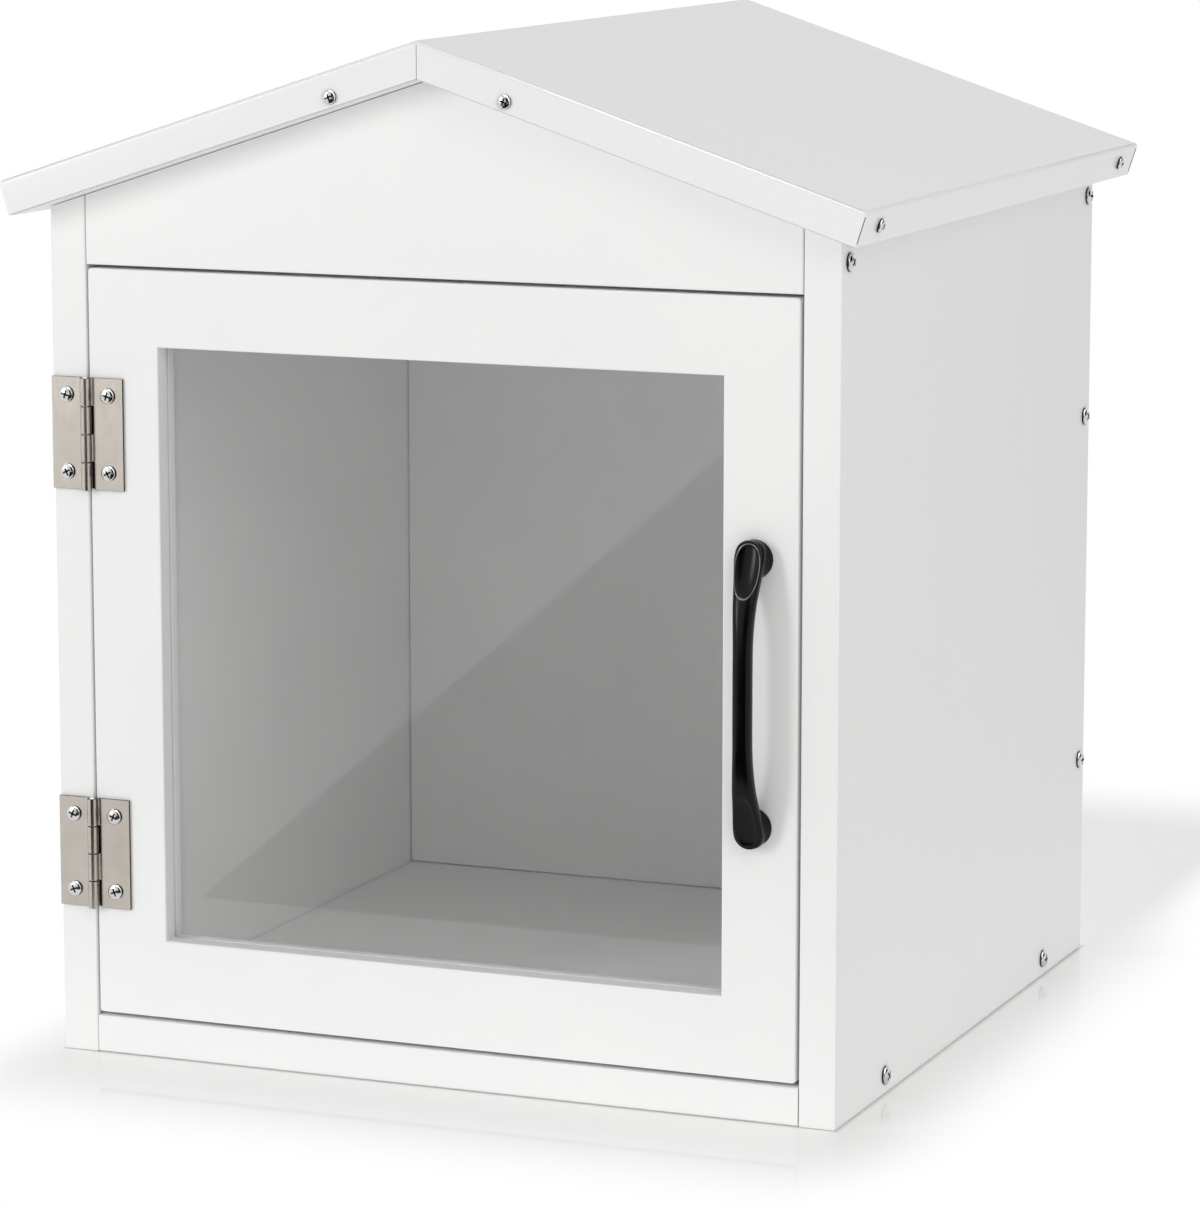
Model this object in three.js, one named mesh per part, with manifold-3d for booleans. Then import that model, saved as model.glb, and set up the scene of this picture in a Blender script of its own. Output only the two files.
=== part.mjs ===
// Street book exchange box: a white board cabinet under a folded sheet roof, with a glazed door
// on two butt hinges, an arched pull with hollowed ends and a magnetic catch.
// Millimetres. X runs right along the front, Y runs from the front to the back, Z is up.
// The origin lies under the middle of the whole box, on the surface that it stands on.

import * as THREE from 'three';
import { mergeVertices } from 'three/addons/utils/BufferGeometryUtils.js';
import Module from 'manifold-3d';

const wasm = await Module();
wasm.setup();

// Cabinet boards
const bodyWidth = 370;
const bodyDepth = 360;
const boardThickness = 17;
const gableDrop = 102.5;
const jointGap = 0.3;
const arris = 0.8;
const arrisSteps = 2;

// Roof: two boards under one folded sheet
const ridgeHeight = 459;
const roofRiseShare = 0.3265;
const roofHalfSpan = 201;
const frontOverhang = 17;
const rearOverhang = 21;
const roofBoardThickness = 15;
const sheetThickness = 0.8;
const bendRadius = 1.8;
const flangeDepth = 15.7;
const ridgeSeam = 0.35;
const cornerSlitWidth = 0.6;
const cornerSlitTop = 2.4;
const cornerWeld = 3.6;

// Door, window and beads
const doorThickness = 17;
const doorGapHinge = 1;
const doorGapFree = 1.5;
const doorGapEnds = 1.5;
const doorCornerRadius = 1.6;
const stileWidth = 34;
const topRail = 34;
const bottomRail = 35.5;
const windowLip = 8.5;
const rebateWidth = 6;
const paneThickness = 3;
const paneEdgeGap = 1;
const beadArris = 0.6;

// Hinges
const hingeHeight = 50;
const hingeWidth = 35;
const leafThickness = 1.2;
const barrelRadius = 2.9;
const pinRadius = 1.35;
const pinRunGap = 0.15;
const pinDome = 0.7;
const pinShoulderShare = 0.7;
const barrelSides = 16;
const knuckleCount = 4;
const knuckleGap = 0.35;
const hingeInset = 73.5;
const hingeScrewOffset = 10.2;
const hingeScrewSpacing = 34.4;
const barrelStandoff = 3;

// Pull handle
const pullCentres = 115;
const pullInset = 19.5;
const postRadius = 8.6;
const postNeckRadius = 6.1;
const postEase = 0.5;
const postCover = 2.4;
const postSides = 24;
const pullReach = 18;
const dishReach = 15.2;
const tipReach = 6.5;
const dishLength = 25;
const pullHalfWidth = 4.1;
const pullEndHalfWidth = 6.7;
const pullThickness = 8;
const pullEndThickness = 7;
const straightHalf = 20;
const archPower = 4;
const flarePower = 1.7;
const barSquareShare = 0.8;
const endSquareShare = 0.6;
const barSides = 16;
const barRings = 32;
const dishHalfWidth = 5.6;
const dishDepth = 1.9;
const dishRim = 0.9;
const dishTaperShare = 0.28;
const dishSides = 20;
const dishRings = 10;
const pullBoreDepth = 6.5;

// Magnetic catch
const catchHeight = 36;
const catchDepth = 14;
const catchWidth = 12;
const catchCorner = 2;
const catchScrewSpacing = 26;
const magnetHeight = 14;
const magnetDepth = 9;
const magnetWidth = 4;
const poleThickness = 1;
const poleProud = 0.5;
const strikeHeight = 30;
const strikeWidth = 10;
const strikeThickness = 1.6;
const strikeCorner = 1.5;
const catchAirGap = 0.3;

// Fasteners: the place of each and its own sizes
const screwSides = 10;
const cabinetScrew = { head: 4.1, headHeight: 2.6, shank: 1.9, length: 38, point: 5 };
const sheetScrew = { head: 3.1, headHeight: 2, shank: 1.4, length: 12, point: 3 };
const hingeScrew = { head: 3.45, headHeight: 1.8, shank: 1.4, length: 14, point: 3 };
const catchScrew = { head: 2.6, headHeight: 1.6, shank: 1.2, length: 20, point: 2.5 };
const pullScrew = { head: 4, headHeight: 2.4, shank: 1.9, length: 22.5, point: 0.5 };
const strikeScrew = { head: 2.6, headHeight: 1.4, shank: 1.1, length: 11, point: 2.5 };
const recessSpanShare = 0.52;
const recessArmShare = 0.13;
const recessDepthShare = 0.55;
const headRimHeightShare = 0.4;
const headShoulderShare = 0.78;
const headShoulderHeightShare = 0.85;
const headCrownShare = 0.35;
const holeGap = 0.25;
const seatGap = 0.1;
const sideScrewUpperRise = 13.5;
const sideScrewMiddleDrop = 92.5;
const sideScrewLowerRise = 78.5;
const sideScrewInset = 64;
const rakeScrewOffset = 40.4;
const rakeScrewDrop = 11.1;
const eaveScrewInset = 24;
const eaveScrewDrop = 7.9;

// One overrun serves every cut that has to pass through a face
const overrun = 5;
const ridgeLap = 1e-4;
const weldTolerance = 1e-4;

// Sizes that follow from those above
const openingTop = ridgeHeight - gableDrop;
const innerHalf = bodyWidth / 2 - boardThickness;
const roofAngle = Math.atan(roofRiseShare);
const roofCos = Math.cos(roofAngle);
const roofSin = Math.sin(roofAngle);
const slopeLength = roofHalfSpan / roofCos;
const roofBuildUp = sheetThickness + jointGap + roofBoardThickness;
const frontReach = Math.max(pullReach, frontOverhang + sheetScrew.headHeight);
const rearReach = rearOverhang + sheetScrew.headHeight;
const bodyFront = -(bodyDepth + rearReach - frontReach) / 2;
const doorLeft = -innerHalf + doorGapHinge;
const doorRight = innerHalf - doorGapFree;
const doorBottom = boardThickness + doorGapEnds;
const doorTop = openingTop - doorGapEnds;
const windowLeft = doorLeft + stileWidth;
const windowRight = doorRight - stileWidth;
const windowBottom = doorBottom + bottomRail;
const windowTop = doorTop - topRail;
const hingeAxisX = -bodyWidth / 2 + hingeWidth / 2;
const pullX = doorRight - pullInset;
const doorMiddle = (doorTop + doorBottom) / 2;

// Finishes
const finish = (colour, roughness, metalness) =>
  new THREE.MeshStandardMaterial({ color: colour, roughness, metalness });
const whitePaint = finish(0xf3f3f1, 0.38, 0);
const roofPaint = finish(0xf1f1ef, 0.28, 0.1);
const clearAcrylic = new THREE.MeshStandardMaterial({
  color: 0xf4f8f8, roughness: 0.05, metalness: 0, transparent: true, opacity: 0.25,
});
const hingeSteel = finish(0xc8c0b6, 0.32, 1);
const pinSteel = finish(0xd0cdc8, 0.2, 1);
const screwSteel = finish(0xbdbbb6, 0.28, 1);
const blackPaint = finish(0x151516, 0.35, 0.2);
const catchPlastic = finish(0xf0efea, 0.45, 0);
const magnetSteel = finish(0x8b8d8e, 0.4, 1);

// A closed geometry becomes a solid that can be joined and cut, and back again
function solidOf(geometry) {
  const bare = geometry.clone();
  bare.deleteAttribute('normal');
  bare.deleteAttribute('uv');
  const merged = mergeVertices(bare, weldTolerance);
  return new wasm.Manifold(new wasm.Mesh({
    numProp: 3,
    vertProperties: new Float32Array(merged.attributes.position.array),
    triVerts: new Uint32Array(merged.index.array),
  }));
}

function geometryOf(solid) {
  const mesh = solid.getMesh();
  const geometry = new THREE.BufferGeometry();
  geometry.setAttribute('position', new THREE.BufferAttribute(new Float32Array(mesh.vertProperties), 3));
  geometry.setIndex(new THREE.BufferAttribute(new Uint32Array(mesh.triVerts), 1));
  const loose = geometry.toNonIndexed();
  loose.computeVertexNormals();
  return loose;
}

function addPiece(parent, name, solid, material) {
  const mesh = new THREE.Mesh(geometryOf(solid), material);
  mesh.name = name;
  parent.add(mesh);
  return mesh;
}

function place(geometry, xAxis, yAxis, zAxis, x = 0, y = 0, z = 0) {
  const turn = new THREE.Matrix4().makeBasis(
    new THREE.Vector3(...xAxis), new THREE.Vector3(...yAxis), new THREE.Vector3(...zAxis));
  return geometry.clone().applyMatrix4(turn.setPosition(x, y, z));
}

// A box between two corners
function block(x0, x1, y0, y1, z0, z1) {
  const box = new THREE.BoxGeometry(x1 - x0, y1 - y0, z1 - z0);
  return solidOf(box.translate((x0 + x1) / 2, (y0 + y1) / 2, (z0 + z1) / 2));
}

// A rod of round section along X, Y or Z, from one end to the other
function rod(axis, radius, start, end, a, b, sides = screwSides) {
  const length = end - start;
  const geometry = new THREE.CylinderGeometry(radius, radius, length, sides);
  const middle = (start + end) / 2;
  if (axis === 'x') return solidOf(geometry.rotateZ(-Math.PI / 2).translate(middle, a, b));
  if (axis === 'y') return solidOf(geometry.translate(a, middle, b));
  return solidOf(geometry.rotateX(Math.PI / 2).translate(a, b, middle));
}

function outlineOf(points) {
  return new THREE.Shape(points.map(([x, y]) => new THREE.Vector2(x, y)));
}

function roundedRectangle(x0, x1, y0, y1, radius) {
  const shape = new THREE.Shape();
  shape.moveTo(x0 + radius, y0);
  shape.lineTo(x1 - radius, y0);
  shape.absarc(x1 - radius, y0 + radius, radius, -Math.PI / 2, 0);
  shape.absarc(x1 - radius, y1 - radius, radius, 0, Math.PI / 2);
  shape.absarc(x0 + radius, y1 - radius, radius, Math.PI / 2, Math.PI);
  shape.absarc(x0 + radius, y0 + radius, radius, Math.PI, 1.5 * Math.PI);
  return shape;
}

// A profile of radii and heights turned about the upright axis
const turned = (profile, sides) =>
  new THREE.LatheGeometry(profile.map(([r, h]) => new THREE.Vector2(r, h)), sides);

// An outline pushed straight up from 0 to its thickness
function slab(shape, thickness, curveSteps = 3) {
  return new THREE.ExtrudeGeometry(shape, {
    depth: thickness, bevelEnabled: false, curveSegments: curveSteps,
  });
}

// The same with softened arrises, as a sanded and painted board has
function easedSlab(shape, thickness, ease = arris, curveSteps = 3) {
  const geometry = new THREE.ExtrudeGeometry(shape, {
    depth: thickness - 2 * ease,
    bevelEnabled: true,
    bevelThickness: ease,
    bevelSize: ease,
    bevelOffset: -ease,
    bevelSegments: arrisSteps,
    curveSegments: curveSteps,
  });
  return geometry.translate(0, 0, ease);
}

// Outlines drawn in X and Z stand upright and run back in Y; those in Y and Z run along X
const upright = (geometry, front, thickness) =>
  place(geometry, [1, 0, 0], [0, 0, 1], [0, -1, 0], 0, front + thickness, 0);
const sideways = (geometry, left) =>
  place(geometry, [0, 1, 0], [0, 0, 1], [1, 0, 0], left, 0, 0);

// Screws: a domed head with a cross recess over a pointed shank, axis up, head underside at 0
function crossRecess(size, top) {
  const reach = size.head * recessSpanShare;
  const arm = size.head * recessArmShare;
  const cross = outlineOf([
    [reach, -arm], [reach, arm], [arm, arm], [arm, reach], [-arm, reach], [-arm, arm],
    [-reach, arm], [-reach, -arm], [-arm, -arm], [-arm, -reach], [arm, -reach], [arm, -arm],
  ]);
  const depth = size.headHeight * recessDepthShare;
  const cut = slab(cross, depth + overrun);
  return solidOf(place(cut, [1, 0, 0], [0, 0, -1], [0, 1, 0], 0, top - depth, 0));
}

function panScrew(size) {
  const profile = [
    [0, -size.length],
    [size.shank, -size.length + size.point],
    [size.shank, 0],
    [size.head, 0],
    [size.head, size.headHeight * headRimHeightShare],
    [size.head * headShoulderShare, size.headHeight * headShoulderHeightShare],
    [size.head * headCrownShare, size.headHeight],
    [0, size.headHeight],
  ];
  return solidOf(turned(profile, screwSides)).subtract(crossRecess(size, size.headHeight));
}

function countersunkScrew(size) {
  const profile = [
    [0, -size.length],
    [size.shank, -size.length + size.point],
    [size.shank, -size.headHeight],
    [size.head, 0],
    [0, 0],
  ];
  return solidOf(turned(profile, screwSides)).subtract(crossRecess(size, 0));
}

// Puts a screw with its head's underside at a point and its head towards a direction
const turnTo = (direction) => new THREE.Quaternion().setFromUnitVectors(
  new THREE.Vector3(0, 1, 0), new THREE.Vector3(...direction));
function addScrew(parent, name, solid, point, direction) {
  const mesh = addPiece(parent, name, solid, screwSteel);
  mesh.position.set(...point);
  mesh.quaternion.copy(turnTo(direction));
}

const cabinetScrewSolid = panScrew(cabinetScrew);
const sheetScrewSolid = panScrew(sheetScrew);
const hingeScrewSolid = panScrew(hingeScrew);
const catchScrewSolid = panScrew(catchScrew);
const pullScrewSolid = panScrew(pullScrew);

// Roof lines: a point at a run along the slope from the ridge and a height square to it
const roofPoint = (run, height, side) => [
  side * (run * roofCos + height * roofSin),
  ridgeHeight - run * roofSin + height * roofCos,
];
const underRidge = (depth) => ridgeHeight - depth / roofCos;
const underRoof = (x, depth) => ridgeHeight - Math.abs(x) * roofRiseShare - depth / roofCos;

// All that may stand under the roof boards
function underRoofSolid() {
  const reach = bodyWidth / 2 + overrun;
  const depth = roofBuildUp + jointGap;
  const house = outlineOf([
    [-reach, -overrun],
    [reach, -overrun],
    [reach, underRoof(reach, depth)],
    [0, underRidge(depth)],
    [-reach, underRoof(reach, depth)],
  ]);
  return solidOf(upright(slab(house, bodyDepth + 2 * overrun), -overrun, bodyDepth + 2 * overrun));
}
const underRoofSpace = underRoofSolid();

// Screws through each side panel: their place from front to back and their height
const sideScrews = [
  ['front', boardThickness / 2, openingTop + sideScrewUpperRise],
  ['rear_upper', bodyDepth - boardThickness / 2, openingTop + sideScrewUpperRise],
  ['rear_middle', bodyDepth - boardThickness / 2, openingTop - sideScrewMiddleDrop],
  ['rear_lower', bodyDepth - boardThickness / 2, boardThickness + sideScrewLowerRise],
  ['base_front', sideScrewInset, boardThickness / 2],
  ['base_rear', bodyDepth - sideScrewInset, boardThickness / 2],
];
const cabinetHole = cabinetScrew.shank + holeGap;
const cabinetHoleEnd = bodyWidth / 2 - cabinetScrew.length - holeGap;

const cabinet = new THREE.Group();
cabinet.position.y = bodyFront;

function cutSideScrewHoles(solid, places) {
  let cut = solid;
  for (const [, y, z] of places) {
    for (const side of [-1, 1]) {
      const far = bodyWidth / 2 + overrun;
      const hole = side > 0
        ? rod('x', cabinetHole, cabinetHoleEnd, far, y, z)
        : rod('x', cabinetHole, -far, -cabinetHoleEnd, y, z);
      cut = cut.subtract(hole);
    }
  }
  return cut;
}

function addSidePanel(name, left, side) {
  const tall = underRoof(innerHalf, 0);
  const outline = outlineOf([[0, 0], [bodyDepth, 0], [bodyDepth, tall], [0, tall]]);
  const board = solidOf(sideways(easedSlab(outline, boardThickness), left));
  let panel = cutSideScrewHoles(board.intersect(underRoofSpace), sideScrews);
  if (side < 0) panel = panel.subtract(hingeScrewHoles(-hingeScrewOffset));
  if (side > 0) panel = panel.subtract(catchScrewHoles());
  addPiece(cabinet, name, panel, whitePaint);
}

// Pilot holes for the hinge screws of one leaf, and for the two screws of the catch
const hingeHeights = [doorBottom + hingeInset, doorTop - hingeInset];
function hingeScrewHoles(offset) {
  const holes = hingeHeights.flatMap((height) => [-1, 1].map((end) => rod('y',
    hingeScrew.shank + holeGap, -overrun, hingeScrew.length,
    hingeAxisX + offset, height + end * hingeScrewSpacing / 2)));
  return holes.reduce((all, hole) => all.add(hole));
}

const strikeFront = doorThickness + seatGap;
const poleFront = strikeFront + strikeThickness + catchAirGap;
const catchFront = poleFront + poleProud;
const catchMiddleY = catchFront + catchDepth / 2;
const catchLeft = innerHalf - seatGap - catchWidth;
function catchScrewHoles() {
  const holes = [-1, 1].map((end) => rod('x', catchScrew.shank + holeGap,
    catchLeft - overrun, catchLeft + catchScrew.length, catchMiddleY,
    doorMiddle + end * catchScrewSpacing / 2));
  return holes.reduce((all, hole) => all.add(hole));
}

addSidePanel('side_panel_left', -bodyWidth / 2, -1);
addSidePanel('side_panel_right', innerHalf, 1);

// The bottom, back and gable boards stand between the side panels
const betweenHalf = innerHalf - jointGap;
const bottomOutline = outlineOf([
  [-betweenHalf, 0], [betweenHalf, 0], [betweenHalf, bodyDepth], [-betweenHalf, bodyDepth],
]);
addPiece(cabinet, 'bottom_panel',
  cutSideScrewHoles(solidOf(easedSlab(bottomOutline, boardThickness)), sideScrews.slice(4)), whitePaint);

function uprightBoard(bottom, front) {
  const outline = outlineOf([
    [-betweenHalf, bottom], [betweenHalf, bottom], [betweenHalf, ridgeHeight], [-betweenHalf, ridgeHeight],
  ]);
  const board = solidOf(upright(easedSlab(outline, boardThickness), front, boardThickness));
  return board.intersect(underRoofSpace);
}
addPiece(cabinet, 'gable_board',
  cutSideScrewHoles(uprightBoard(openingTop, 0), sideScrews.slice(0, 1)), whitePaint);
addPiece(cabinet, 'back_panel', cutSideScrewHoles(
  uprightBoard(boardThickness + jointGap, bodyDepth - boardThickness), sideScrews.slice(1, 4)), whitePaint);

for (const [where, y, z] of sideScrews) {
  const seat = bodyWidth / 2 + seatGap;
  addScrew(cabinet, `side_screw_left_${where}`, cabinetScrewSolid, [-seat, y, z], [-1, 0, 0]);
  addScrew(cabinet, `side_screw_right_${where}`, cabinetScrewSolid, [seat, y, z], [1, 0, 0]);
}

// Roof boards, mitred at the ridge, with pilot holes for the screws of the sheet
const sheetHole = sheetScrew.shank + holeGap;
const roofFront = -frontOverhang;
const roofBack = bodyDepth + rearOverhang;
const eaveScrewYs = [roofFront + eaveScrewInset, roofBack - eaveScrewInset];
function sheetScrewHoles(side) {
  const [x, z] = [side * rakeScrewOffset, underRoof(rakeScrewOffset, 0) - rakeScrewDrop / roofCos];
  const deep = sheetScrew.length + holeGap;
  const front = rod('y', sheetHole, roofFront - overrun, roofFront + deep, x, z);
  const back = rod('y', sheetHole, roofBack - deep, roofBack + overrun, x, z);
  const eaves = eaveScrewYs.map((y) => {
    const geometry = new THREE.CylinderGeometry(sheetHole, sheetHole, deep + overrun, screwSides);
    const middle = slopeLength + (overrun - deep) / 2;
    const [cx, cz] = roofPoint(middle, -eaveScrewDrop, side);
    geometry.applyQuaternion(turnTo([side * roofCos, 0, -roofSin]));
    return solidOf(geometry.translate(cx, y, cz));
  });
  return front.add(back).add(eaves[0]).add(eaves[1]);
}

function addRoofBoard(name, side) {
  const top = sheetThickness + jointGap;
  const eaveRun = slopeLength - top;
  const ridgeX = jointGap / 2;
  const ease = bendRadius - sheetThickness;
  const section = outlineOf([
    [side * ridgeX, underRoof(ridgeX, top)],
    roofPoint(eaveRun - ease, -top, side),
    roofPoint(eaveRun, -top - ease, side),
    roofPoint(eaveRun, -roofBuildUp, side),
    [side * ridgeX, underRoof(ridgeX, roofBuildUp)],
  ]);
  const front = roofFront + top;
  const length = roofBack - roofFront - 2 * top;
  const board = solidOf(upright(easedSlab(section, length, ease), front, length));
  addPiece(cabinet, name, board.subtract(sheetScrewHoles(side)), whitePaint);
}
addRoofBoard('roof_board_left', -1);
addRoofBoard('roof_board_right', 1);

// Roof sheet: a shell between two nested blocks whose top edges are rounded by the bends
const bendSteps = 3;
function bendArc(centre, radius, from, to) {
  return Array.from({ length: bendSteps + 1 }, (_, i) => {
    const angle = from + (to - from) * i / bendSteps;
    return [centre[0] + radius * Math.cos(angle), centre[1] + radius * Math.sin(angle)];
  });
}

function roofSection(inset, depth) {
  const radius = bendRadius - inset;
  const right = [];
  right.push(...bendArc([0, underRidge(bendRadius)], radius, Math.PI / 2, Math.PI / 2 - roofAngle));
  right.push(...bendArc(roofPoint(slopeLength - bendRadius, -bendRadius, 1), radius,
    Math.PI / 2 - roofAngle, -roofAngle));
  right.push(roofPoint(slopeLength - inset, -depth, 1));
  const left = right.slice(1).reverse().map(([x, z]) => [-x, z]);
  return outlineOf([...right, [0, underRidge(depth)], ...left]);
}

function rakeSolid(inset, depth, side) {
  const radius = bendRadius - inset;
  const front = roofFront + inset;
  const back = roofBack - inset;
  const section = outlineOf([
    [front, -depth],
    [back, -depth],
    ...bendArc([roofBack - bendRadius, -bendRadius], radius, 0, Math.PI / 2),
    ...bendArc([roofFront + bendRadius, -bendRadius], radius, Math.PI / 2, Math.PI),
  ]);
  const run = slopeLength + 2 * bendRadius + 2 * flangeDepth;
  const geometry = slab(section, run).translate(0, 0, -bendRadius - flangeDepth);
  const along = [side * roofCos, 0, -roofSin];
  const square = [side * roofSin, 0, roofCos];
  const laid = place(geometry, [0, 1, 0], square, along, 0, 0, ridgeHeight);
  if (side < 0) flipWinding(laid);
  const [lap, eave] = [-side * ridgeLap, side * 2 * roofHalfSpan];
  const half = block(Math.min(lap, eave), Math.max(lap, eave),
    roofFront - overrun, roofBack + overrun, 0, 2 * ridgeHeight);
  return solidOf(laid).intersect(half);
}

// A mirrored shape has its triangles turned round so that they face out again
function flipWinding(geometry) {
  const position = geometry.attributes.position;
  for (let i = 0; i < position.count; i += 3) {
    const [x, y, z] = [position.getX(i), position.getY(i), position.getZ(i)];
    position.setXYZ(i, position.getX(i + 2), position.getY(i + 2), position.getZ(i + 2));
    position.setXYZ(i + 2, x, y, z);
  }
}

function roofBlock(inset, depth) {
  const length = roofBack - roofFront + 2 * overrun;
  const across = solidOf(upright(slab(roofSection(inset, depth), length), roofFront - overrun, length));
  const along = rakeSolid(inset, depth + overrun, 1).add(rakeSolid(inset, depth + overrun, -1));
  return across.intersect(along);
}

function ridgeSeamCuts() {
  const top = ridgeHeight - bendRadius;
  const bottom = underRidge(flangeDepth) - overrun;
  const half = ridgeSeam / 2;
  const deep = sheetThickness + jointGap / 2;
  return block(-half, half, roofFront - overrun, roofFront + deep, bottom, top)
    .add(block(-half, half, roofBack - deep, roofBack + overrun, bottom, top));
}

// A bent corner stays open below the bend and is closed by a short weld at the foot
function cornerSlitCuts() {
  const height = flangeDepth - cornerSlitTop - cornerWeld;
  const deep = sheetThickness + jointGap / 2;
  const middle = -(cornerSlitTop + height / 2);
  const cuts = [];
  for (const side of [-1, 1]) {
    for (const y of [roofFront + sheetThickness, roofBack - sheetThickness - cornerSlitWidth]) {
      const slit = new THREE.BoxGeometry(deep + overrun, cornerSlitWidth, height);
      const [x, z] = roofPoint(slopeLength + (overrun - deep) / 2, middle, side);
      slit.rotateY(side * roofAngle);
      cuts.push(solidOf(slit.translate(x, y + cornerSlitWidth / 2, z)));
    }
  }
  return cuts.reduce((all, cut) => all.add(cut));
}

const roofSheet = roofBlock(0, flangeDepth)
  .subtract(roofBlock(sheetThickness, flangeDepth + overrun))
  .subtract(ridgeSeamCuts())
  .subtract(cornerSlitCuts())
  .subtract(sheetScrewHoles(-1))
  .subtract(sheetScrewHoles(1));
addPiece(cabinet, 'roof_sheet', roofSheet, roofPaint);

for (const [word, side] of [['left', -1], ['right', 1]]) {
  const [x, z] = [side * rakeScrewOffset, underRoof(rakeScrewOffset, 0) - rakeScrewDrop / roofCos];
  addScrew(cabinet, `roof_screw_front_${word}`, sheetScrewSolid, [x, roofFront - seatGap, z], [0, -1, 0]);
  addScrew(cabinet, `roof_screw_rear_${word}`, sheetScrewSolid, [x, roofBack + seatGap, z], [0, 1, 0]);
  const [ex, ez] = roofPoint(slopeLength + jointGap, -eaveScrewDrop, side);
  const out = [side * roofCos, 0, -roofSin];
  addScrew(cabinet, `eave_screw_${word}_front`, sheetScrewSolid, [ex, eaveScrewYs[0], ez], out);
  addScrew(cabinet, `eave_screw_${word}_rear`, sheetScrewSolid, [ex, eaveScrewYs[1], ez], out);
}

// Door: one board with a rebated window, an acrylic pane and four mitred beads behind it
const door = new THREE.Group();
cabinet.add(door);

const strikeX = catchLeft + catchWidth / 2 - poleThickness;
function doorFrameSolid() {
  const outline = roundedRectangle(doorLeft, doorRight, doorBottom, doorTop, doorCornerRadius);
  outline.holes.push(outlineOf([
    [windowLeft, windowBottom], [windowLeft, windowTop], [windowRight, windowTop], [windowRight, windowBottom],
  ]));
  const board = solidOf(upright(easedSlab(outline, doorThickness), 0, doorThickness));
  const rebate = block(windowLeft - rebateWidth, windowRight + rebateWidth, windowLip,
    doorThickness + overrun, windowBottom - rebateWidth, windowTop + rebateWidth);
  const pullHoles = [-1, 1].map((end) => rod('y', pullScrew.shank + holeGap, -overrun,
    doorThickness + overrun, pullX, doorMiddle + end * pullCentres / 2));
  const strikeHole = rod('y', strikeScrew.shank + holeGap,
    strikeFront + strikeThickness - strikeScrew.length - holeGap, doorThickness + overrun, strikeX, doorMiddle);
  return board.subtract(rebate).subtract(pullHoles[0]).subtract(pullHoles[1])
    .subtract(strikeHole).subtract(hingeScrewHoles(hingeScrewOffset));
}
addPiece(door, 'door_frame', doorFrameSolid(), whitePaint);

const paneFront = windowLip + seatGap;
const paneSide = rebateWidth - paneEdgeGap;
addPiece(door, 'window_pane', block(windowLeft - paneSide, windowRight + paneSide, paneFront,
  paneFront + paneThickness, windowBottom - paneSide, windowTop + paneSide), clearAcrylic);

// A bead is a strip with its back arrises eased and its ends cut at 45 degrees
function addBead(name, a, b, outward) {
  const depth = doorThickness - paneFront - paneThickness - seatGap;
  const width = rebateWidth - jointGap;
  const length = Math.hypot(b[0] - a[0], b[1] - a[1]);
  const mitre = jointGap / 2;
  const strip = outlineOf([
    [mitre, 0], [length - mitre, 0], [length + width - mitre, width], [mitre - width, width],
  ]);
  const geometry = easedSlab(strip, depth, beadArris);
  const dx = (b[0] - a[0]) / length;
  const dz = (b[1] - a[1]) / length;
  const stood = place(geometry, [dx, 0, dz], [outward[0], 0, outward[1]],
    [0, outward[0] * dz - outward[1] * dx, 0]);
  const front = doorThickness - depth;
  const bottom = new THREE.Box3().setFromBufferAttribute(stood.attributes.position).min.y;
  addPiece(door, name, solidOf(stood.translate(a[0], front - bottom, a[1])), whitePaint);
}
const windowCorners = {
  lowerLeft: [windowLeft, windowBottom],
  lowerRight: [windowRight, windowBottom],
  upperLeft: [windowLeft, windowTop],
  upperRight: [windowRight, windowTop],
};
addBead('glazing_bead_bottom', windowCorners.lowerRight, windowCorners.lowerLeft, [0, -1]);
addBead('glazing_bead_top', windowCorners.upperLeft, windowCorners.upperRight, [0, 1]);
addBead('glazing_bead_left', windowCorners.lowerLeft, windowCorners.upperLeft, [-1, 0]);
addBead('glazing_bead_right', windowCorners.upperRight, windowCorners.lowerRight, [1, 0]);

// Hinges: each leaf is a plate that curls round the pin in every second knuckle
const knuckleLength = hingeHeight / knuckleCount;
const leafBack = barrelStandoff - seatGap;
const leafInner = barrelRadius + knuckleGap;

function knuckleSolid(index, side) {
  const z0 = -hingeHeight / 2 + index * knuckleLength + knuckleGap / 2;
  const z1 = z0 + knuckleLength - knuckleGap;
  const strap = side > 0
    ? block(0, leafInner + overrun, leafBack - leafThickness, leafBack, z0, z1)
    : block(-leafInner - overrun, 0, leafBack - leafThickness, leafBack, z0, z1);
  return strap.add(rod('z', barrelRadius, z0, z1, 0, 0, barrelSides));
}

function leafSolid(side, knuckles) {
  const outer = hingeWidth / 2;
  const plate = side > 0
    ? block(leafInner, outer, leafBack - leafThickness, leafBack, -hingeHeight / 2, hingeHeight / 2)
    : block(-outer, -leafInner, leafBack - leafThickness, leafBack, -hingeHeight / 2, hingeHeight / 2);
  let leaf = plate;
  for (const index of knuckles) leaf = leaf.add(knuckleSolid(index, side));
  leaf = leaf.subtract(rod('z', pinRadius + pinRunGap, -hingeHeight, hingeHeight, 0, 0, barrelSides));
  for (const end of [-1, 1]) {
    leaf = leaf.subtract(rod('y', hingeScrew.shank + holeGap, -overrun, overrun,
      side * hingeScrewOffset, end * hingeScrewSpacing / 2));
  }
  return leaf;
}

function pinSolid() {
  const half = hingeHeight / 2;
  const shoulder = pinRadius * pinShoulderShare;
  const rise = pinDome * pinShoulderShare;
  const profile = [
    [0, -half - pinDome], [shoulder, -half - rise], [pinRadius, -half],
    [pinRadius, half], [shoulder, half + rise], [0, half + pinDome],
  ];
  return solidOf(turned(profile, barrelSides).rotateX(Math.PI / 2));
}

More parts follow.
